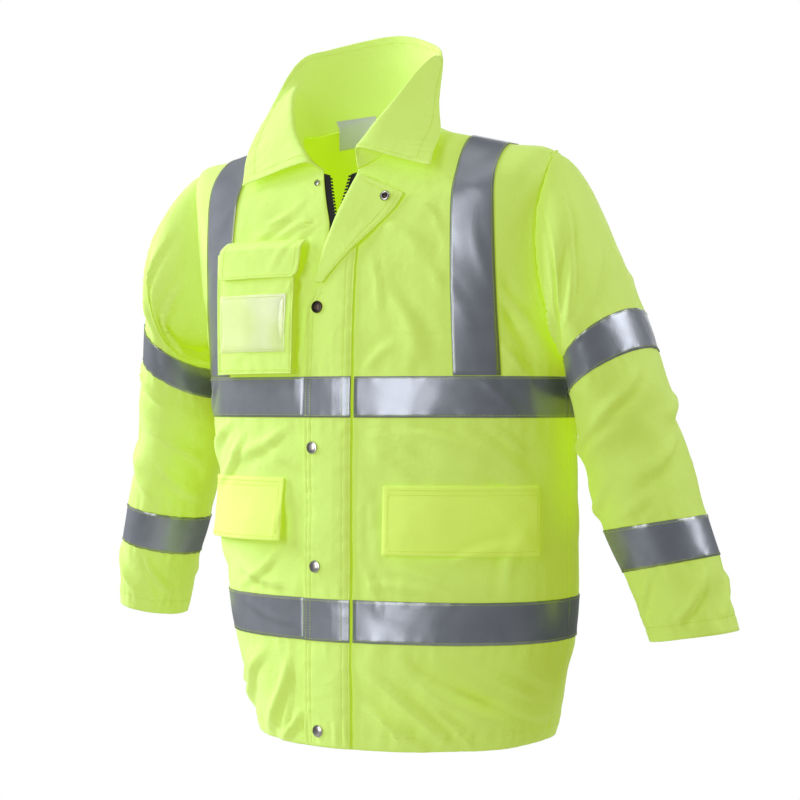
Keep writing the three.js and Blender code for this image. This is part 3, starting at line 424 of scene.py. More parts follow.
def sleeve(side, angle, row, lift=0.0):
    """Points of a sleeve's cloth, blended into the armhole, and their normals."""
    sign = SIDES[side]
    angle, row = np.broadcast_arrays(np.asarray(angle, float), np.asarray(row, float))
    point = sleeve_base(side, angle, row)
    normal = sign * normal_of(lambda a, r: sleeve_base(side, a, r), angle, row, 0.02, 0.02)
    away = around_folds(SLEEVE_FOLDS, fold_at, angle, row, 0)
    fine = CREASE_DEPTH * around_folds(SLEEVE_CREASES, crease_at, angle, row, sign < 0)
    u, v = angle * FOLD_RADIUS, row * FOLD_ROW
    fine = fine + crumple(u, v, long=74, high=0.8, seed=2.2 + sign)
    fine = fine + crumple(u, v, long=36, high=0.35, seed=sign)
    for low, high in SLEEVE_BANDS.values():
        held = fade(low - 0.15, low, row) * (1 - fade(high, high + 0.15, row))
        fine = fine * (1 - 0.6 * held)
        for at, way in ((low, -1), (high, 1)):
            off = (row - at) * way * FOLD_ROW
            fine = fine + pucker(u, np.where(off > 0, off, 5 * off), period=22, reach=15, high=0.8)
    cuff = (CUFF - row - CUFF_STITCH) * 45
    fine = fine + pucker(angle * 60, cuff, period=20, reach=12, high=0.8) - 0.7 * bell(cuff, 2.2)
    gathers = pucker(angle * 80, (row - 0.15) * 40, period=19, reach=12, high=1.3)
    cap = 3 * bell(row - 0.17, 0.1) + gathers
    free = point + normal * (lift + away + fine)[..., None]
    blend = fade(0, 1, np.minimum(1, row / 2))[..., None]
    held = armhole_point(sign, angle, lift)
    out = normal * (cap * fade(0, 0.12, row))[..., None]
    return held + (free - held) * blend + out, normal


# How far the collar stands off the neck ring, and how soon it bends at its crest
COLLAR_GAP, COLLAR_BEND = 1.2, 0.2
LOW_CREST, HIGH_CREST, CREST_WIDTH = 0.42, 0.58, 0.16
LAST_RIB = 11


def collar_point(rib, height):
    """Points up the collar from the neck ring, 0, over its crest to the free edge, 1."""
    rib, height = np.broadcast_arrays(np.asarray(rib, float), np.asarray(height, float))
    turn = np.radians(along(COLLAR_RIBS, "turn", rib))
    neck = np.full(turn.shape, float(NECK))
    base = body(turn, neck, -SHELL / 2)[0]
    base = base + COLLAR_GAP * unit(base - body(turn, neck - 0.1, -SHELL / 2)[0])
    crest, edge = (
        np.stack([along(COLLAR_RIBS, part + axis, rib) for axis in "XYZ"], axis=-1)
        for part in ("crest", "edge")
    )
    before, after = crest + (base - crest) * COLLAR_BEND, crest + (edge - crest) * COLLAR_BEND
    h = height[..., None]
    k = (h - LOW_CREST) / CREST_WIDTH
    first, second = before + (crest - before) * k, crest + (after - crest) * k
    rising = base + (before - base) * h / LOW_CREST
    falling = after + (edge - after) * (h - HIGH_CREST) / LOW_CREST
    over = first + (second - first) * k
    return np.where(h <= LOW_CREST, rising, np.where(h >= HIGH_CREST, falling, over))


def collar(rib, height, lift=0.0):
    """Points of the collar; its normals face the wearer inside and the sky on the fallen leaf."""
    rib, height = np.broadcast_arrays(np.asarray(rib, float), np.asarray(height, float))
    normal = normal_of(collar_point, rib, height, 0.03, 0.01)
    soft = 1.2 * np.sin(rib * 1.9 + 3 * height) * height
    soft = soft + crumple(rib * 45, height * 110, long=70, high=0.7, seed=0.9)
    rim = np.minimum(np.minimum(rib, LAST_RIB - rib) * 34, (1 - height) * 62)
    soft = soft + pucker(rib * 45 + height * 60, rim - 7, period=17, reach=7, high=0.45)
    away = np.asarray(lift + soft * fade(0, 0.2, height))[..., None]
    return collar_point(rib, height) + normal * away, normal


# Meshes
def cut_lengths(grid):
    """Running lengths over a grid, across its columns and along its rows, in metres."""
    across = np.linalg.norm(np.diff(grid, axis=1), axis=-1)
    down = np.linalg.norm(np.diff(grid, axis=0), axis=-1)
    u = np.concatenate([np.zeros((grid.shape[0], 1)), np.cumsum(across, axis=1)], axis=1)
    v = np.concatenate([np.zeros((1, grid.shape[1])), np.cumsum(down, axis=0)], axis=0)
    return u / MM_PER_METRE, v / MM_PER_METRE


def mesh_piece(name, points, faces, uvs, finish, slot, smooth=True):
    """An object from points in millimetres, with one finish."""
    mesh = bpy.data.meshes.new(name)
    places = np.asarray(points) / MM_PER_METRE
    mesh.from_pydata([tuple(p) for p in places], [], [tuple(f) for f in faces])
    if uvs is not None:
        layer = mesh.uv_layers.new(name="cut")
        index = np.empty(len(mesh.loops), np.int32)
        mesh.loops.foreach_get("vertex_index", index)
        layer.data.foreach_set("uv", np.asarray(uvs, np.float32)[index].ravel())
    mesh.polygons.foreach_set("use_smooth", [smooth] * len(mesh.polygons))
    mesh.materials.append(finish)
    mesh.update()
    piece = bpy.data.objects.new(name, mesh)
    bpy.context.scene.collection.objects.link(piece)
    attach(piece, "root")
    return piece


def volume_sign(points, faces):
    """1 where the faces look out, -1 where they look in."""
    p = np.asarray(points)
    f = np.array([face[:3] for face in faces] + [(face[0], *face[2:4]) for face in faces if len(face) > 3])
    a, b, c = p[f[:, 0]], p[f[:, 1]], p[f[:, 2]]
    return np.sign((a * np.cross(b, c)).sum())


def shell_parts(outer, normals, thick, tube=False):
    """Points, faces and cut lengths of a closed cloth with rounded edges from its outer grid."""
    rows, columns = outer.shape[:2]
    inner = outer - normals * thick
    middle = (outer + inner) / 2
    u, v = cut_lengths(middle)
    pull = min(0.45 * thick, 0.8)
    outer, inner = outer.copy(), inner.copy()
    for layer in (outer, inner):
        plain = layer.copy()
        for edge, beside in ((0, 1), (-1, -2)):
            layer[edge] += unit(plain[beside] - plain[edge]) * pull
            if not tube:
                layer[:, edge] += unit(plain[:, beside] - plain[:, edge]) * pull
    count = rows * columns
    at = lambda layer, r, c: layer * count + r * columns + c % columns
    wide = columns if tube else columns - 1
    faces = []
    for r in range(rows - 1):
        for c in range(wide):
            faces.append((at(0, r, c), at(0, r, c + 1), at(0, r + 1, c + 1), at(0, r + 1, c)))
            faces.append((at(1, r, c), at(1, r + 1, c), at(1, r + 1, c + 1), at(1, r, c + 1)))
    if tube:
        loops = [[(0, c) for c in range(columns)], [(rows - 1, c) for c in reversed(range(columns))]]
    else:
        loops = [
            [(0, c) for c in range(columns - 1)] + [(r, columns - 1) for r in range(rows - 1)]
            + [(rows - 1, c) for c in range(columns - 1, 0, -1)] + [(r, 0) for r in range(rows - 1, 0, -1)]
        ]
    rim, rim_uv = [], []
    for loop in loops:
        start = 2 * count + len(rim)
        for i, (r, c) in enumerate(loop):
            r2, c2 = loop[(i + 1) % len(loop)]
            a, b = start + i, start + (i + 1) % len(loop)
            faces.append((at(0, r2, c2), at(0, r, c), a, b))
            faces.append((b, a, at(1, r, c), at(1, r2, c2)))
            rim.append(middle[r, c])
            rim_uv.append((u[r, c], v[r, c]))
    points = np.concatenate([outer.reshape(-1, 3), inner.reshape(-1, 3), np.array(rim)])
    uv = np.stack([u, v], axis=-1).reshape(-1, 2)
    if volume_sign(points, faces) < 0:
        faces = [face[::-1] for face in faces]
    return points, faces, np.concatenate([uv, uv, np.array(rim_uv)])


def joined(parts):
    """Several parts' points, faces and cut lengths as one."""
    points, faces, uvs, start = [], [], [], 0
    for p, f, uv in parts:
        points.append(p)
        faces += [tuple(i + start for i in face) for face in f]
        uvs.append(uv if uv is not None else np.zeros((len(p), 2)))
        start += len(p)
    return np.concatenate(points), faces, np.concatenate(uvs)


def dressed(name, parts, finish, slot, smooth=True):
    """A piece that takes the place of the solid of its name."""
    piece = mesh_piece(name, *joined(parts), finish, slot, smooth)
    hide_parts(name)
    return piece


def span(low, high, steps):
    """Even steps from low to high."""
    return np.linspace(low, high, steps + 1)


def grid(across, down):
    """Places across for each column and places down for each row."""
    return np.broadcast_arrays(across[None, :], down[:, None])


def front_normals(middle, sample):
    """A grid's normals, turned so that those of a sample of it face the front."""
    normal = unit(np.cross(np.gradient(middle, axis=1), np.gradient(middle, axis=0)))
    return normal * (-1 if normal[sample][..., 1].mean() > 0 else 1)


def revolved(profile, place, normal, steps=32):
    """A round fitting: a profile of radius and height turned about a normal at a place."""
    n = unit(np.asarray(normal))
    side = unit(np.cross(n, [0.0, 0.0, 1.0]))
    up = np.cross(side, n)
    points = []
    for radius, height in profile:
        for i in range(steps):
            a = TURN * i / steps
            points.append(place + n * height + (side * math.cos(a) + up * math.sin(a)) * radius)
    faces = []
    for r in range(len(profile) - 1):
        for i in range(steps):
            j = (i + 1) % steps
            faces.append((r * steps + i, r * steps + j, (r + 1) * steps + j, (r + 1) * steps + i))
    faces.append(tuple(range(steps))[::-1])
    faces.append(tuple((len(profile) - 1) * steps + i for i in range(steps)))
    if volume_sign(points, [f for f in faces if len(f) == 4]) < 0:
        faces = [face[::-1] for face in faces]
    return np.array(points), faces, None


def run_along(line):
    """Running length at each point of a line."""
    return np.concatenate([[0], np.cumsum(np.linalg.norm(np.diff(line, axis=0), axis=1))])


def place_on(values, run, s):
    """Values along a line at a running length."""
    return np.stack([np.interp(s, run, values[:, i]) for i in range(3)], axis=-1)


def stitches(line, normals, pitch=3.4, long=2.6, wide=0.75, high=0.4):
    """A row of thread stitches laid along a line on the cloth."""
    line, normals = np.asarray(line, float), np.asarray(normals, float)
    run = run_along(line)
    starts = np.arange(pitch / 2, run[-1] - pitch / 2, pitch)
    head, tail = place_on(line, run, starts - long / 2), place_on(line, run, starts + long / 2)
    n = unit(place_on(normals, run, starts))
    side = unit(np.cross(tail - head, n)) * wide / 2
    middle = (head + tail) / 2 + n * high
    under = middle - n * high * 2
    points = np.stack([head, tail, middle - side, middle + side, under], axis=1).reshape(-1, 3)
    faces = []
    for i in range(len(starts)):
        h, t, a, b, d = (5 * i + k for k in range(5))
        faces += [(h, a, b), (t, b, a), (h, d, a), (t, a, d), (h, b, d), (t, d, b)]
    return points, faces, np.zeros((len(points), 2))


# Finishes
class Field:
    """A shader socket that takes sums, products and the like as written."""

    def __init__(self, finish, socket):
        self.finish, self.socket = finish, socket

    def math(self, operation, *others, swapped=False):
        terms = [self, *others][::-1] if swapped else [self, *others]
        return self.finish.node("ShaderNodeMath", {"operation": operation}, dict(enumerate(terms)))

    def __add__(self, other):
        return self.math("ADD", other)

    def __sub__(self, other):
        return self.math("SUBTRACT", other)

    def __rsub__(self, other):
        return self.math("SUBTRACT", other, swapped=True)

    def __mul__(self, other):
        return self.math("MULTIPLY", other)

    def __truediv__(self, other):
        return self.math("DIVIDE", other)

    def __gt__(self, other):
        return self.math("GREATER_THAN", other)

    __radd__, __rmul__ = __add__, __mul__

    def sine(self):
        return self.math("SINE")

    def size(self):
        return self.math("ABSOLUTE")

    def clipped(self):
        return self.finish.node("ShaderNodeClamp", {}, {0: self})


class Finish:
    """A material whose nodes are made one by one."""

    def __init__(self, name, color, roughness, metallic=0.0, **fixed):
        self.material = bpy.data.materials.new(name)
        self.material.use_nodes = True
        self.tree = self.material.node_tree
        self.surface = self.tree.nodes["Principled BSDF"]
        values = {"Base Color": (*color, 1), "Roughness": roughness, "Metallic": metallic}
        values.update({key.replace("_", " "): value for key, value in fixed.items()})
        for key, value in values.items():
            self.surface.inputs[key].default_value = value

    def node(self, kind, settings, inputs, output=0):
        made = self.tree.nodes.new(kind)
        for key, value in settings.items():
            if key == "stops":
                for i, (position, color) in enumerate(value):
                    stop = made.color_ramp.elements[i] if i < 2 else made.color_ramp.elements.new(position)
                    stop.position, stop.color = position, (*color, 1)
            else:
                setattr(made, key, value)
        for key, value in inputs.items():
            if isinstance(value, Field):
                self.tree.links.new(value.socket, made.inputs[key])
            else:
                made.inputs[key].default_value = value
        return Field(self, made.outputs[output])

    def feed(self, **fields):
        for key, field in fields.items():
            self.tree.links.new(field.socket, self.surface.inputs[key.replace("_", " ")])

    def place(self):
        return self.node("ShaderNodeTexCoord", {}, {}, "Object")

    def cut(self):
        """Lengths in metres across and along a piece's cut."""
        uv = self.node("ShaderNodeUVMap", {"uv_map": "cut"}, {})
        split = self.node("ShaderNodeSeparateXYZ", {}, {0: uv})
        return split, Field(self, split.socket.node.outputs[1])

    def noise(self, where, scale, detail=3, roughness=0.55, distortion=0.0):
        values = {"Vector": where, "Scale": scale, "Detail": detail}
        values.update({"Roughness": roughness, "Distortion": distortion})
        return self.node("ShaderNodeTexNoise", {}, values)

    def ramp(self, field, *stops):
        return self.node("ShaderNodeValToRGB", {"stops": stops}, {0: field})

    def mix(self, factor, first, second):
        values = {"Factor": factor, 6: first if isinstance(first, Field) else (*first, 1)}
        values[7] = second if isinstance(second, Field) else (*second, 1)
        return self.node("ShaderNodeMix", {"data_type": "RGBA"}, values, 2)

    def bump(self, height, distance, strength=1.0, normal=None):
        values = {"Height": height, "Distance": distance, "Strength": strength}
        if normal:
            values["Normal"] = normal
        return self.node("ShaderNodeBump", {}, values)


def tinted(color, by):
    return tuple(min(1, max(0, c * by)) for c in color)


def woven(name, color, thread=0.00062, depth=0.00012, crumples=0.0003, roughness=0.62, **fixed):
    """Plain-woven coated cloth: crossing threads, faint slubs, small creases and uneven shade."""
    finish = Finish(name, color, roughness, **fixed)
    u, v = finish.cut()
    place = finish.place()
    warp, weft = (u * (TURN / thread)).sine(), (v * (TURN / thread)).sine()
    weave = warp * weft * 0.5 + 0.5
    slub = finish.noise(place, 420, 2)
    small = finish.noise(place, 62, 4, 0.5, 0.2)
    wide = finish.noise(place, 21, 3, 0.5, 0.2)
    broad = finish.noise(place, 7, 2)
    creases = (small - 0.5).size() * -0.3 + (wide - 0.5).size() * -1.2
    coarse = finish.bump(creases, crumples * 9)
    fine = finish.bump(weave * 0.7 + slub * 0.6, depth, 0.6, coarse)
    shade = finish.ramp(broad * 0.7 + slub * 0.3, (0.3, tinted(color, 0.93)), (0.7, tinted(color, 1.04)))
    finish.feed(
        Base_Color=shade,
        Roughness=wide * 0.16 + (roughness - 0.1) + weave * 0.05,
        Normal=fine,
    )
    return finish.material


LIME = (0.39, 0.6, 0.21)
YELLOW = (0.46, 0.64, 0.19)
# The emission is a painted glow: the cloth lights itself lime, which lifts and yellows its shade in creases
# and under parts
shell_cloth = woven(
    "lime_oxford", LIME, Sheen_Weight=0.25, Sheen_Roughness=0.45, Sheen_Tint=(1, 1, 0.75, 1),
    Emission_Color=(0.84, 1, 0.0, 1), Emission_Strength=0.33, Specular_IOR_Level=0.35,
)
# The emission is a painted glow, as on the lime cloth, lifting the flaps' shade
flap_cloth = woven(
    "yellow_oxford", YELLOW, crumples=0.0002, Sheen_Weight=0.2, Sheen_Roughness=0.45,
    Emission_Color=(0.82, 1, 0.0, 1), Emission_Strength=0.36, Specular_IOR_Level=0.35,
)
zip_cloth = woven("black_zip_weave", (0.012, 0.012, 0.014), thread=0.0008, roughness=0.8)
label_cloth = woven("satin_label", (0.62, 0.63, 0.67), thread=0.0004, crumples=0.0002, roughness=0.45)


def reflective(name, width):
    """Glass-bead tape: a soft metal sheen, fine crossed grain and a lime edge."""
    finish = Finish(name, (0.3, 0.32, 0.36), 0.3, 0.55, Specular_IOR_Level=0.5)
    u, v = finish.cut()
    place = finish.place()
    grain = finish.noise(place, 900, 2, 0.7)
    cloudy = finish.noise(place, 26, 3, 0.55, 0.4)
    ribs = (v * (TURN / 0.0011)).sine() * (u * (TURN / 0.0011)).sine()
    edge = (v - width / 2).size() > width / 2 - 0.0006
    color = finish.ramp(cloudy * 0.6 + grain * 0.4, (0.3, (0.28, 0.3, 0.345)), (0.7, (0.36, 0.385, 0.44)))
    finish.feed(
        Base_Color=finish.mix(edge, color, (0.34, 0.4, 0.16)),
        Roughness=cloudy * 0.06 + grain * 0.08 + 0.27,
        Normal=finish.bump(grain * 0.1 + ribs * 0.06 + cloudy * 1.5, 0.0002, 0.8),
    )
    return finish.material


tape_cloth = reflective("reflective_tape", 0.0515)


def thread(name, color, **sockets):
    finish = Finish(name, color, 0.6, Sheen_Weight=0.2, Sheen_Roughness=0.4, **sockets)
    place = finish.place()
    twist = finish.noise(place, 2600, 1)
    finish.feed(
        Base_Color=finish.ramp(twist, (0.3, tinted(color, 0.75)), (0.7, tinted(color, 1.08))),
        Normal=finish.bump(twist, 0.0001),
    )
    return finish.material


# The thread's emission is a painted glow, like the cloth's, that keeps its lines lime in shade
lime_thread = thread(
    "lime_thread", (0.5, 0.68, 0.05), Emission_Color=(0.8, 1, 0, 1), Emission_Strength=0.16,
)


def metal(name, color, roughness):
    """Pressed metal with turning marks and handling wear."""
    finish = Finish(name, color, roughness, 1.0)
    place = finish.place()
    marks, spots = finish.noise(place, 2400, 2), finish.noise(place, 300, 3)
    finish.feed(
        Base_Color=finish.ramp(spots, (0.35, tinted(color, 0.72)), (0.6, color)),
        Roughness=spots * 0.2 + (roughness - 0.08),
        Normal=finish.bump(marks, 0.00006),
    )
    return finish.material


snap_metal = metal("snap_steel", (0.66, 0.64, 0.6), 0.3)
dark_metal = metal("snap_dark", (0.07, 0.055, 0.045), 0.35)


def plastic(name, color, roughness):
    finish = Finish(name, color, roughness)
    place = finish.place()
    grain, wear = finish.noise(place, 1800, 2), finish.noise(place, 240, 3)
    finish.feed(
        Base_Color=finish.ramp(wear, (0.4, color), (0.75, tuple(c + 0.02 for c in color))),
        Roughness=wear * 0.2 + (roughness - 0.1),
        Normal=finish.bump(grain, 0.00005),
    )
    return finish.material


black_plastic = plastic("black_moulded", (0.012, 0.012, 0.013), 0.42)


def clear_film():
    """Soft clear film whose ripples catch the light, with painted glare as well: it is whiter and less clear
    where the ripples rise.
    """
    finish = Finish(
        "clear_film", (0.93, 0.98, 0.7), 0.12, Specular_IOR_Level=0.7, Coat_Weight=0.6, Coat_Roughness=0.06
    )
    place = finish.place()
    ripple, dust = finish.noise(place, 16, 2, 0.4, 0.3), finish.noise(place, 500, 3)
    # Painted glare: alpha and colour rise with the ripple, so the crests look whiter and more opaque
    finish.feed(
        Alpha=finish.ramp(ripple, (0.35, (0.4,) * 3), (0.66, (0.6,) * 3)),
        Base_Color=finish.ramp(ripple, (0.35, (0.92, 0.98, 0.62)), (0.7, (1, 1, 0.88))),
        Roughness=dust * 0.12 + 0.12,
        Normal=finish.bump(ripple, 0.002),
    )
    finish.material.surface_render_method = "BLENDED"
    return finish.material


window_film = clear_film()

# Shell panels
FRONT_EDGE, ZIP_EDGE, V_BOTTOM, V_OPEN, ZIP_OVERLAP = 9, 0.6, 11, 15, 15
lime_stitching, tape_stitching = [], []


def shell_piece(name, *parts):
    return dressed(name, parts, shell_cloth, "shell_cloth")


def sew(line, normals):
    lime_stitching.append(stitches(line, normals))


def sew_on_tape(line, normals):
    tape_stitching.append(stitches(line, normals))


def v_opening(row):
    return V_OPEN * np.maximum(0, (row - V_BOTTOM) / (NECK - V_BOTTOM))


def panel_rows():
    """Row numbers up a panel, and how far its armhole is open there."""
    arm, below, above = span(0, math.pi, 46), 112, 36
    rows = np.concatenate([
        span(0, ARMPIT, below)[:-1], ARMPIT + 1.5 * (1 - np.cos(arm)), span(TIP, NECK, above)[1:]
    ])
    opened = np.concatenate([np.zeros(below), np.sin(arm), np.zeros(above)])
    return rows, opened


def panel(name, ends, columns):
    rows, opened = panel_rows()
    first, last = ends(rows, opened)
    turn = first[:, None] + (last - first)[:, None] * span(0, 1, columns)[None, :]
    outer, normal = body(turn, np.broadcast_to(rows[:, None], turn.shape))
    return shell_piece(name, shell_parts(outer, normal, SHELL))


def front_ends(sign):
    return lambda rows, opened: (
        turn_at(sign * (FRONT_EDGE + v_opening(rows)), rows),
        sign * (SEAM_TURN - ARMHOLE["front"] * opened),
    )


def back_ends(rows, opened):
    return SEAM_TURN + ARMHOLE["back"] * opened, 3 * SEAM_TURN - ARMHOLE["back"] * opened


for side, sign in SIDES.items():
    front = panel(f"front_{side}", front_ends(sign), 58)
back = panel("back", back_ends, 124)


# Turns between which the hem is sewn, on either side of the storm flap
HEM_SEWING = (-1.45, -0.2), (0.18, TURN - 1.45)
for ends in HEM_SEWING:
    sew(*body(span(*ends, 300), HEM_STITCH / HEM_ROW, SEWN))

# Reflective tape round the body
TAPE_END = {
    ("lower_tape", 1): 33, ("lower_tape", -1): -36, ("chest_tape", 1): 34, ("chest_tape", -1): -35,
}
EDGE_STITCH = 2.6
EDGE_SHARES = EDGE_STITCH / TAPE_WIDTH, 1 - EDGE_STITCH / TAPE_WIDTH


def tape_piece(node, outer, normal, tube=False):
    return dressed(node, [shell_parts(outer, normal, TAPE, tube)], tape_cloth, "reflective_tape")


def tape_on(surface, low, high, u_range, columns, rows=12):
    """A tape's grid on a surface that takes a place across and a place along."""
    return surface(*grid(span(*u_range, columns), span(low, high, rows)))


def sew_tape(surface, low, high, u_range, steps=200):
    """Stitches beside both edges of a tape."""
    for share in EDGE_SHARES:
        sew_on_tape(*surface(span(*u_range, steps), low + (high - low) * share))


SEAM_CLEAR = 0.0012
for ring, (low, high) in RINGS.items():
    for side, sign in SIDES.items():
        start = lambda row: turn_at(TAPE_END[ring, sign], row)
        end = sign * (SEAM_TURN - SEAM_CLEAR)
        on = lambda k, row, lift=LAY + TAPE: body(start(row) + (end - start(row)) * k, row, lift)
        piece = tape_piece(f"{ring}_{side}", *tape_on(on, low, high, (0, 1), 60))
        sew_tape(lambda k, row: on(k, row, LAY + TAPE + SEWN), low, high, (0.004, 0.998))
    on = lambda turn, row, lift=LAY + TAPE: body(turn, row, lift)
    span_back = (SEAM_TURN + SEAM_CLEAR, 3 * SEAM_TURN - SEAM_CLEAR)
    piece = tape_piece(f"{ring}_back", *tape_on(on, low, high, span_back, 130))
    sew_tape(lambda turn, row: on(turn, row, LAY + TAPE + SEWN), low, high, span_back, 320)

# Bands over the shoulders, a front and a back half
BAND = {"low": 181, "high": 170, "lift": 1.1, "bottom": -301.4, "wide": TAPE_WIDTH}
# Rows lie closer together near the shoulder
BAND_EASE = 1.35
RIDGE = [along(BODY, name, span(TIP, NECK, 60))[::-1] for name in ("wide", "side")]


def band_at(sign, face, across, down, lift):
    """A place on a band: across its width in millimetres, down from 0 at the shoulder to 1."""
    ridge = np.interp(BAND["high"] + across, *RIDGE) - 0.3
    z = ridge + (BAND["bottom"] - ridge) * down
    x = BAND["high"] + (BAND["low"] - BAND["high"]) * (z - ridge) / (BAND["bottom"] - ridge) + across
    return body_at(sign * x, z, lift, face)


for side, sign in SIDES.items():
    for face in ("front", "back"):
        down, across = grid(span(0, 1, 64) ** BAND_EASE, span(-BAND["wide"] / 2, BAND["wide"] / 2, 12))
        outer, normal = band_at(sign, face, across, down, BAND["lift"] + TAPE)
        piece = tape_piece(f"shoulder_band_{face}_{side}", outer, normal)
        for edge in (-1, 1):
            line = span(0.01, 0.99, 160) ** BAND_EASE
            off = edge * (BAND["wide"] / 2 - EDGE_STITCH)
            sew_on_tape(*band_at(sign, face, off, line, BAND["lift"] + TAPE + SEWN))

# Sleeves and their bands
AROUND = 96
for side, sign in SIDES.items():
    angle = np.arange(AROUND) * TURN / AROUND
    rows = np.concatenate([span(0, 0.5, 12)[:-1], span(0.5, CUFF, 130)])
    outer, normal = sleeve(side, *grid(angle, rows))
    piece = shell_piece(f"sleeve_{side}", shell_parts(outer, normal, SHELL, tube=True))
    sew(*sleeve(side, span(0, TURN, 220), CUFF - CUFF_STITCH, SEWN))
    for name, (low, high) in SLEEVE_BANDS.items():
        outer, normal = sleeve(side, *grid(angle, span(low, high, 12)), LAY + TAPE)
        piece = tape_piece(f"sleeve_{side}_band_{name}", outer, normal, tube=True)
        sew_tape(lambda a, r: sleeve(side, a, r, LAY + TAPE + SEWN), low, high, (0, TURN), 220)

# Collar, with its label inside the back of the neck
outer, normal = collar(*grid(span(0, LAST_RIB, 150), span(0, 1, 44)), COLLAR / 2)
piece = shell_piece("collar", shell_parts(outer, normal, COLLAR))
COLLAR_STITCH, COLLAR_ENDS = 0.9, (0.2, 10.8)
for lift in (COLLAR / 2 + SEWN, -COLLAR / 2 - SEWN):
    sew(*collar(span(*COLLAR_ENDS, 400), COLLAR_STITCH, lift))
    for end in COLLAR_ENDS:
        sew(*collar(end, span(0.12, COLLAR_STITCH, 60), lift))

LABEL = {"from": 3.45, "to": 4.45, "high": (0.1, 0.03), "drop": (27, 35), "thick": 0.6, "off": 0.7}
ribs = span(LABEL["from"], LABEL["to"], 24)
top, top_normal = collar(ribs, span(*LABEL["high"], 24), COLLAR / 2 + LAY + LABEL["thick"])
seam, seam_normal = collar(ribs, 0.01, COLLAR / 2 + LAY + LABEL["thick"] + LABEL["off"])
drops = span(*LABEL["drop"], 24)[:, None] * [0, 0, 1]
label_rows = [top] + [seam - drops * share for share in span(0, 1, 14)]
label_normals = np.stack([top_normal] + [seam_normal] * 15)
label_grid = np.stack(label_rows) + label_normals * (0.5 * np.sin(span(0, 5, 24)))[None, :, None]
parts = [shell_parts(label_grid, label_normals, LABEL["thick"])]
piece = dressed("neck_label", parts, label_cloth, "label_cloth")

# Zip: two woven tapes, their teeth and the slider
TEETH = {
    "pitch": 4.2, "long": 2.3, "reach": 4.2, "high": 2.6, "lift": 0.6, "held": 1.4, "first": 3, "last": 2,
}


def box_part(centre, axes, sizes):
    """A small block with eased top edges."""
    points = []
    for w, scale in ((-1, 1), (0.35, 1), (1, 0.62)):
        for a, b in ((-1, -1), (1, -1), (1, 1), (-1, 1)):
            points.append(
                centre + axes[0] * a * sizes[0] * scale / 2 + axes[1] * b * sizes[1] * scale / 2
                + axes[2] * w * sizes[2] / 2
            )
    faces = [(3, 2, 1, 0), (8, 9, 10, 11)]
    for layer in (0, 4):
        for i in range(4):
            j = (i + 1) % 4
            faces.append((layer + i, layer + j, layer + 4 + j, layer + 4 + i))
    return np.array(points), faces, None


for side, sign in SIDES.items():
    rows = np.concatenate([span(0.1, ARMPIT, 60)[:-1], span(ARMPIT, NECK - 0.1, 60)])
    x = sign * (ZIP_EDGE + v_opening(rows))[:, None] + sign * ZIP_OVERLAP * span(0, 1, 5)[None, :]
    grid_rows = np.broadcast_to(rows[:, None], x.shape)
    outer, normal = body(turn_at(x, grid_rows), grid_rows, -ZIP_DEPTH)
    piece = dressed(f"zip_tape_{side}", [shell_parts(outer, normal, ZIP_TAPE)], zip_cloth, "zip_cloth")
    line, normals, inward = outer[:, 0], normal[:, 0], unit(outer[:, 0] - outer[:, 1])
    run = run_along(line)
    teeth = []
    first = TEETH["first"] + (0 if sign > 0 else TEETH["pitch"] / 2)
    for s in np.arange(first, run[-1] - TEETH["last"], TEETH["pitch"]):
        at, n, reach = (place_on(values, run, s) for values in (line, normals, inward))
        ahead = place_on(line, run, s + 1)
        place = at + n * TEETH["lift"] + reach * (TEETH["reach"] / 2 - TEETH["held"])
        sizes = [TEETH[size] for size in ("reach", "long", "high")]
        teeth.append(box_part(place, (reach, unit(ahead - at), n), sizes))
    mesh_piece(f"zip_teeth_{side}", *joined(teeth), black_plastic, "black_plastic", smooth=False)

SLIDER = table(
    "x z long wide low high",
    (0, -127.5, 13, 9, -2, 1.6), (0, -141, 33, 5, 1.4, 2.6), (0, -155, 6, 6, 1.2, 2.8),
)
parts = []
for x, z, long, wide, low, high in zip(*SLIDER.values()):
    place, normal = body_at(x, z, (low + high) / 2, relief=0)
    up = unit(np.array([0, 0, 1.0]) - normal * normal[2])
    parts.append(box_part(place, (np.cross(up, normal), up, normal), (wide, long, high - low)))
dressed("zip_slider", parts, black_plastic, "black_plastic", smooth=False)

# Storm flap: its length over the zip and its turned-out top
FLAP_BOTTOM, FLAP_TOP = -745, -62
# Rows of sewing: how far in, from the free edge or from the seam
FLAP_STITCHES = ((4, False), (10, False), (3, True), (10.5, True))
# How high the sewing runs beside the seam and the free edge
FLAP_SEWN = {"seam": -95, "edge": -200}
# The share of the flap's puckers that shows in the tape on it
TAPE_CALM = 0.2


def flap_lift(x):
    return look_up(FLAP_LIFT, "x", "lift", x)


def flap_at(k, z, lift):
    """k runs from the free edge or the fold, 0, to the seam, 1."""
    edge, seam = look_up(FLAP_ROWS, "z", "edge", z), look_up(FLAP_ROWS, "z", "seam", z)
    x = edge + (seam - edge) * k
    ripple = pucker(z, x - edge - 6, period=23, reach=9, high=0.5)
    ripple = ripple + pucker(z, seam - x - 7, period=26, reach=8, high=0.5)
    groove = sum(
        bell((seam - x if from_seam else x - edge) - off, 1.3) for off, from_seam in FLAP_STITCHES
    )
    calm = 1 if lift <= FLAP + SEWN else TAPE_CALM
    ripple = (ripple - 0.5 * groove) * calm
    wave = 0.9 * np.sin(z / 31 + 1.3 * np.sin(z / 83)) * bell(x - edge, 12)
    away = flap_lift(x) + lift + (ripple + wave) * fade(0, 14, z - FLAP_BOTTOM)
    return body_at(x, z, away, relief=0.5)


def flap_line(off, from_seam, z, lift):
    """A line up the flap at a distance in from its free edge or its seam."""
    share = off / (look_up(FLAP_ROWS, "z", "seam", z) - look_up(FLAP_ROWS, "z", "edge", z))
    return flap_at(1 - share if from_seam else share, z, lift)


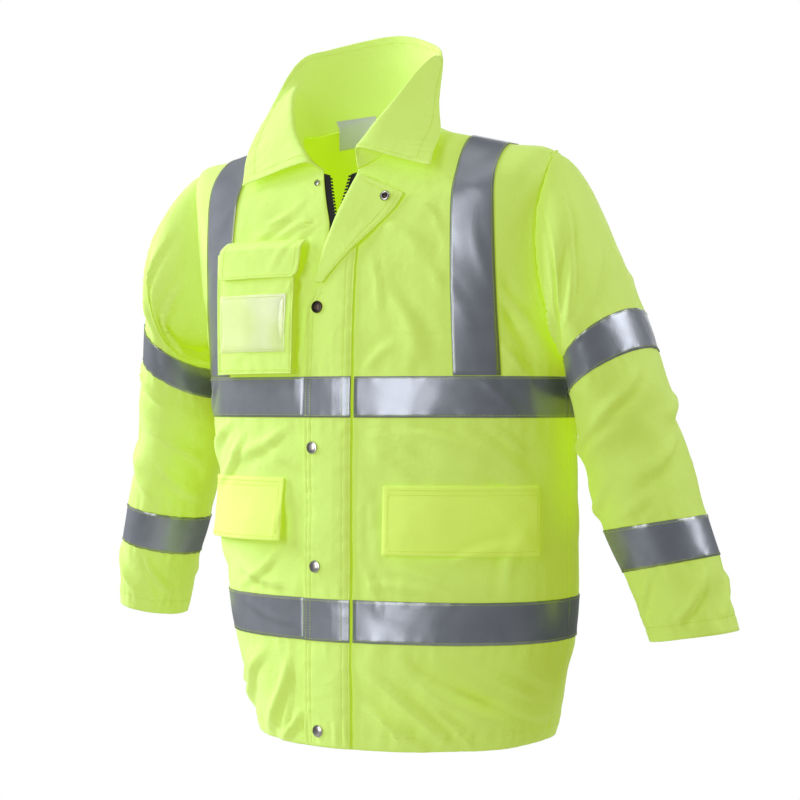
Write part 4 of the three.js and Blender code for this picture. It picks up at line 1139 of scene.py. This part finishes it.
outer, normal = flap_at(*grid(span(0, 1, 50), span(FLAP_BOTTOM, FLAP_TOP, 190)), FLAP)
flap_parts = [shell_parts(outer, normal, FLAP)]
for off, from_seam in FLAP_STITCHES:
    z = span(FLAP_BOTTOM + 3, FLAP_SEWN["seam" if from_seam else "edge"], 260)
    sew(*flap_line(off, from_seam, z, FLAP + SEWN))

# The turned-out top's section: a roll at the fold, then out to the free edge
ROLL = table("out share", (3.2, 0), (0.6, 0), (-1, 0.25), (-1.5, 0.55), (-0.4, 0.85), (2, 1))


def turned_at(row, place):
    """Under the fold at 0, over it by 1, and out to the free edge at 2."""
    fold_x, fold_z, free_x, free_z, fold_lift, free_lift = (
        along(TURNED_ROWS, name, row) for name in TURNED_ROWS
    )
    roll = np.clip(place, 0, 1) * 5
    out, share = along(ROLL, "out", roll), along(ROLL, "share", roll)
    k = np.clip(place - 1, 0, 1)
    x = fold_x + out * (1 - k) + (free_x - fold_x) * k
    z = fold_z + (free_z - fold_z) * k
    low = flap_lift(fold_x) + FLAP / 2
    over = fold_lift + (free_lift - fold_lift) * k
    soft = 0.66 * np.sin(row * 1.5 + 2.4 * k) * k
    return body_at(x, z, low + (over - low) * np.clip(share, 0, 1) + soft, relief=0.4)[0]


place, row = grid(np.concatenate([span(0, 1, 10)[:-1], span(1, 2, 26)]), span(0, 6, 40))
middle = turned_at(row, place)
normal = front_normals(middle, np.s_[:, -8:])
flap_parts.append(shell_parts(middle + normal * FLAP, normal, FLAP))
piece = shell_piece("storm_flap", *flap_parts)
lapel_outer = middle + normal * (FLAP + SEWN)
for off in (2, 5):
    sew(lapel_outer[1:-1, -1 - off], normal[1:-1, -1 - off])
sew(lapel_outer[3, 12:-3], normal[3, 12:-3])

for ring, (low, high) in RINGS.items():
    z_low, z_high = along(BODY, "side", low), along(BODY, "side", high)
    lift = FLAP + LAY + TAPE
    piece = tape_piece(f"{ring}_flap", *flap_at(*grid(span(0, 1, 50), span(z_low, z_high, 14)), lift))
    for share in EDGE_SHARES:
        sew_on_tape(*flap_at(span(0.02, 0.98, 60), z_low + (z_high - z_low) * share, lift + SEWN))
    for off, from_seam in FLAP_STITCHES:
        sew_on_tape(*flap_line(off, from_seam, span(z_low + 1, z_high - 1, 30), lift + SEWN))

# Press studs: the radius and height of each profile from its middle
CAP = [
    (0.4, 0), (7.3, 0), (7.5, 0.5), (7.3, 1.1), (6.6, 1.5), (6.1, 1.45), (5.6, 1.7), (4, 2.35), (2, 2.6),
    (0.3, 2.62),
]
SNAPS = {
    "snap_top": (-16, -219), "snap_upper": (-20, -387), "snap_lower": (-16, -529), "snap_hem": (-14, -726),
}
for name, (x, z) in SNAPS.items():
    place, normal = body_at(x, z, flap_lift(x) + FLAP + 1, relief=0)
    look = (dark_metal, "dark_metal") if name == "snap_top" else (snap_metal, "snap_metal")
    dressed(name, [revolved(CAP, place, normal)], *look)
SOCKET = [(0.3, 0), (6.4, 0), (6.5, 0.9), (6, 1.7), (5, 2.2), (3.9, 2.2), (3.5, 1.6), (3.2, 0.8), (0.3, 0.8)]
STUD = [(0.3, 0), (4, 0), (4, 0.8), (3.2, 1.2), (2, 1.4), (1.5, 2), (1.7, 2.5), (0.3, 2.6)]
EYE = [(0.3, 0), (3.2, 0), (3.1, 0.5), (1.6, 0.6), (0.3, 0.9)]
SOCKET_AT, STUD_AT, EYE_LIFT = (66, -89, 6.1), (-31, -67, 0.8), 0.85
for name, at, profile in (("snap_socket", SOCKET_AT, SOCKET), ("neck_stud", STUD_AT, STUD)):
    dressed(name, [revolved(profile, *body_at(*at, relief=0))], snap_metal, "snap_metal")

x, z, lift = SOCKET_AT
eye = revolved(EYE, *body_at(x, z, lift + EYE_LIFT, relief=0))
mesh_piece("socket_eye", *joined([eye]), dark_metal, "dark_metal")

# Chest pocket: a bag with pleated sides, a flap over its mouth and a clear window
POCKET = {
    "from": -161, "to": -44, "bottom": -299, "top": -152, "stand": 14, "lay": 0.8, "over": 4.6, "step": -140,
}
POCKET_WALL, POCKET_SEWN = 1.2, 0.15
PLEAT = table("in share", (2.5, 0), (5, 0.22), (6.5, 0.5), (4, 0.8), (0.6, 0.97), (0, 1))


def pocket_at(a, b, lift=0.0):
    """a runs over one side's pleat (0 to 1), the front (1 to 2) and the other pleat (2 to 3);
    b over the foot's pleat (0 to 1) and up the front (1 to 2)."""
    side, foot = np.clip(np.minimum(a, 3 - a), 0, 1) * 5, np.clip(b, 0, 1) * 5
    inset = along(PLEAT, "in", side)
    k, up = np.clip(a - 1, 0, 1), np.clip(b - 1, 0, 1)
    x = POCKET["from"] + (POCKET["to"] - POCKET["from"]) * k + np.where(a < 1.5, inset, -inset)
    z = POCKET["bottom"] + along(PLEAT, "in", foot) + (POCKET["top"] - POCKET["bottom"]) * up
    share = np.minimum(along(PLEAT, "share", side), along(PLEAT, "share", foot))
    over = 1 - fade(POCKET["step"] - 18, POCKET["step"], x)
    base = POCKET["lay"] + (POCKET["over"] - POCKET["lay"]) * over
    front = np.sin(np.pi * k) * np.sin(np.pi * np.clip(up, 0, 1))
    sag = 1.6 * front * np.sin(5 * k + 4 * up)
    sag = sag + crumple(x, z, long=38, high=0.5, seed=2.5) * np.clip(front * 3, 0, 1)
    return body_at(x, z, base + (POCKET["stand"] - base) * share + sag * share + lift, relief=0.3)


middle = pocket_at(*grid(
    np.concatenate([span(0, 1, 8)[:-1], span(1, 2, 34)[:-1], span(2, 3, 8)]),
    np.concatenate([span(0, 1, 8)[:-1], span(1, 2, 40)]),
))[0]
normal = front_normals(middle, np.s_[20:21, 20:21])
piece = shell_piece("chest_pocket", shell_parts(middle, normal, POCKET_WALL))
for a in (1.035, 1.965):
    sew(*pocket_at(a, span(1.02, 1.98, 90), POCKET_SEWN))
sew(*pocket_at(span(1.03, 1.97, 90), 1.035, POCKET_SEWN))

CHEST_FLAP = table(
    "z from to lift",
    (-184, -151, -46, 15.6), (-178, -157, -39, 15.4), (-168, -158, -37, 15.2), (-153, -157, -36, 15.2),
    (-148, -156, -36, 14.6), (-142, -155, -36, 9), (-138, -155, -36, 3.2),
)


def chest_flap_at(k, row):
    z, low, high, stand = (along(CHEST_FLAP, name, row) for name in CHEST_FLAP)
    x = low + (high - low) * k
    soft = 0.8 * np.sin(4 * k + row) * np.clip((4 - row) / 4, 0, 1)
    return body_at(x, z, stand + soft, relief=0.3)[0]


middle = chest_flap_at(*grid(span(0, 1, 30), span(0, 6, 30)))
normal = front_normals(middle, np.s_[10:11, 10:11])
piece = shell_piece("chest_pocket_flap", shell_parts(middle + normal * FLAP, normal, FLAP))
top = middle + normal * (FLAP + SEWN)
for r, columns in ((3, slice(2, -2)), (26, slice(1, -1))):
    sew(top[r, columns], normal[r, columns])
for c in (2, -3):
    sew(top[3:25, c], normal[3:25, c])

WINDOW = {
    "from": -155, "to": -54, "bottom": -272, "top": -203, "lift": 14.9, "thick": 0.7, "loose": 0.6,
    "sewn": 1.1,
}
x, z = grid(span(WINDOW["from"], WINDOW["to"], 40), span(WINDOW["bottom"], WINDOW["top"], 28))
ripple = 0.5 * np.sin(x / 9 + z / 23) + 0.4 * np.sin(z / 7 + x / 31) + 1.2
inward = np.minimum(
    np.minimum(x - WINDOW["from"], WINDOW["to"] - x), np.minimum(z - WINDOW["bottom"], WINDOW["top"] - z)
)
edge = np.clip(inward / 8, 0, 1)
outer, normal = body_at(x, z, WINDOW["lift"] + WINDOW["loose"] + ripple * edge, relief=0.3)
parts = [shell_parts(outer, normal, WINDOW["thick"])]
piece = dressed("card_window", parts, window_film, "clear_film")
WINDOW_STITCH = 3
x_ends = WINDOW["from"] + WINDOW_STITCH, WINDOW["to"] - WINDOW_STITCH
z_ends = WINDOW["bottom"] + WINDOW_STITCH, WINDOW["top"] - WINDOW_STITCH
for x, z in (
    *((span(*x_ends, 60), z_end) for z_end in z_ends),
    *((x_end, span(*z_ends, 40)) for x_end in x_ends),
):
    sew(*body_at(x, z, WINDOW["lift"] + WINDOW["sewn"], relief=0.3))

# Lower pocket flaps, sewn along the top: the near edge's x, the far edge's turn, top, bottom, and how
# far the flap stands off at each third of its height
LOWER_FLAPS = {
    "left": (73, 1.16, -431, -513, (1.1, 3, 4.5, 5)),
    "right": (-62, -1.36, -424, -500, (1.1, 4, 8, 11)),
}


def row_at_height(z):
    rows = span(0, NECK, 700)
    return np.interp(z, along(BODY, "side", rows), rows)


for side, (near, far, top, bottom, stand) in LOWER_FLAPS.items():
    def lower_flap_at(k, down, lift):
        row = row_at_height(top + (bottom - top) * down)
        first = turn_at(near, row)
        base = np.interp(down, (0, 1 / 3, 2 / 3, 1), stand)
        soft = (0.9 * np.sin(5.2 * k + 1) + 0.6 * np.sin(11 * k)) * down
        hollow = 0.36 * bell(down - 0.1, 0.06)
        return body(first + (far - first) * k, row, base + soft - hollow + lift, relief=0.55)

    outer, normal = lower_flap_at(*grid(span(0, 1, 46), span(0, 1, 24)), FLAP)
    piece = dressed(f"lower_flap_{side}", [shell_parts(outer, normal, FLAP)], flap_cloth, "flap_cloth")
    steps = span(0.035, 0.965, 160)
    for at in (0.06, 0.13, 0.93):
        sew(*lower_flap_at(steps, at, FLAP + SEWN))
    for at in (0.032, 0.968):
        sew(*lower_flap_at(at, 0.06 + steps * 0.87, FLAP + SEWN))

# Cord end: its place on the body, its profile, and its axis, which leans a little
CORD_AT = {"turn": -1.22, "z": -507.0, "lift": 2.7}
CORD_END = [(0.3, 0), (1.6, 0.2), (2.3, 2.5), (2.3, 14.5), (1.9, 17.4), (0.3, 18)]
CORD_AXIS = np.array([0.02, 0, 1.0])
place = body(np.array(CORD_AT["turn"]), row_at_height(CORD_AT["z"]), CORD_AT["lift"], relief=0)[0]
foot = place - [0, 0, CORD_END[-1][1] / 2]
dressed("cord_end", [revolved(CORD_END, foot, CORD_AXIS, 20)], black_plastic, "black_plastic")

# Sewing
mesh_piece("lime_sewing", *joined(lime_stitching), lime_thread, "shell_cloth")
mesh_piece("tape_sewing", *joined(tape_stitching), lime_thread, "shell_cloth")

# Camera, at the photograph's place
AZIMUTH = math.radians(28)
DISTANCE, FOCAL_PIXELS, PHOTO_PIXELS = 2.6, 2107, 800
AIM = (0.04, -0.33)
camera_data = bpy.data.cameras.new("camera")
camera_data.sensor_width = 36
camera_data.lens = FOCAL_PIXELS / PHOTO_PIXELS * camera_data.sensor_width
camera = bpy.data.objects.new("camera", camera_data)
bpy.context.scene.collection.objects.link(camera)
s, c = math.sin(AZIMUTH), math.cos(AZIMUTH)
camera.location = (DISTANCE * s + AIM[0] * c, -DISTANCE * c + AIM[0] * s, AIM[1])
camera.rotation_euler = (math.pi / 2, 0, AZIMUTH)
bpy.context.scene.camera = camera

# Floor and soft light
FLOOR = {"z": -1.15, "half": 60, "near": 0.8, "far": 1.6}
floor_mesh = bpy.data.meshes.new("floor")
h, z = FLOOR["half"], FLOOR["z"]
floor_mesh.from_pydata([(-h, -h, z), (h, -h, z), (h, h, z), (-h, h, z)], [], [(0, 1, 2, 3)])
floor = bpy.data.objects.new("floor", floor_mesh)
bpy.context.scene.collection.objects.link(floor)
pale = Finish("pale_floor", (0.92, 0.92, 0.92), 0.7)
away = pale.node("ShaderNodeVectorMath", {"operation": "LENGTH"}, {0: pale.place()}, "Value")
far = ((away - FLOOR["near"]) / (FLOOR["far"] - FLOOR["near"])).clipped()
# The floor glows white to the camera and dimly to the jacket, so that it doesn't light it from below
bright, dim = (
    pale.node("ShaderNodeEmission", {}, {"Color": (1, 1, 1, 1), "Strength": by}) for by in (1.0, 0.15)
)
looked_at = pale.node("ShaderNodeLightPath", {}, {}, "Is Camera Ray")
glow = pale.node("ShaderNodeMixShader", {}, {0: looked_at, 1: dim, 2: bright})
both = pale.node("ShaderNodeMixShader", {}, {0: far, 1: Field(pale, pale.surface.outputs[0]), 2: glow})
pale.tree.links.new(both.socket, pale.tree.nodes["Material Output"].inputs["Surface"])
floor_mesh.materials.append(pale.material)

world = bpy.data.worlds.new("studio")
bpy.context.scene.world = world
world.use_nodes = True
nodes, links = world.node_tree.nodes, world.node_tree.links
backdrop, fill = nodes["Background"], nodes.new("ShaderNodeBackground")
# White to the camera, a weak cool fill to the jacket
for shader, color, strength in ((backdrop, (1, 1, 1, 1), 1.0), (fill, (0.95, 0.97, 1, 1), 0.16)):
    shader.inputs["Color"].default_value = color
    shader.inputs["Strength"].default_value = strength
seen, choose = nodes.new("ShaderNodeLightPath"), nodes.new("ShaderNodeMixShader")
links.new(seen.outputs["Is Camera Ray"], choose.inputs[0])
links.new(fill.outputs[0], choose.inputs[1])
links.new(backdrop.outputs[0], choose.inputs[2])
links.new(choose.outputs[0], nodes["World Output"].inputs["Surface"])

# Area lights: degrees round from the front and up, distance, width, height and power
LIGHTS = {
    "key": (-10, 8, 3.0, 1.1, 2.2, 42),
    "side": (-82, 24, 3.6, 2.4, 2.4, 225),
    "rim": (112, 26, 3.4, 1.4, 2.2, 56),
    "top": (10, 72, 3.2, 2.4, 2.4, 12),
    "behind": (188, 24, 3.6, 2.2, 2.2, 24),
}
for name, (round_, up, distance, wide, tall, power) in LIGHTS.items():
    data = bpy.data.lights.new(name, "AREA")
    data.shape, data.size, data.size_y, data.energy = "RECTANGLE", wide, tall, power
    light = bpy.data.objects.new(name, data)
    a, e = math.radians(round_), math.radians(up)
    way = np.array([math.sin(a) * math.cos(e), -math.cos(a) * math.cos(e), math.sin(e)])
    light.location = way * distance + [0, 0, AIM[1]]
    light.rotation_euler = (math.pi / 2 - e, 0, a)
    light.visible_glossy = name != "side"
    bpy.context.scene.collection.objects.link(light)

bpy.context.scene.view_settings.view_transform = "Standard"

bpy.context.view_layer.update()
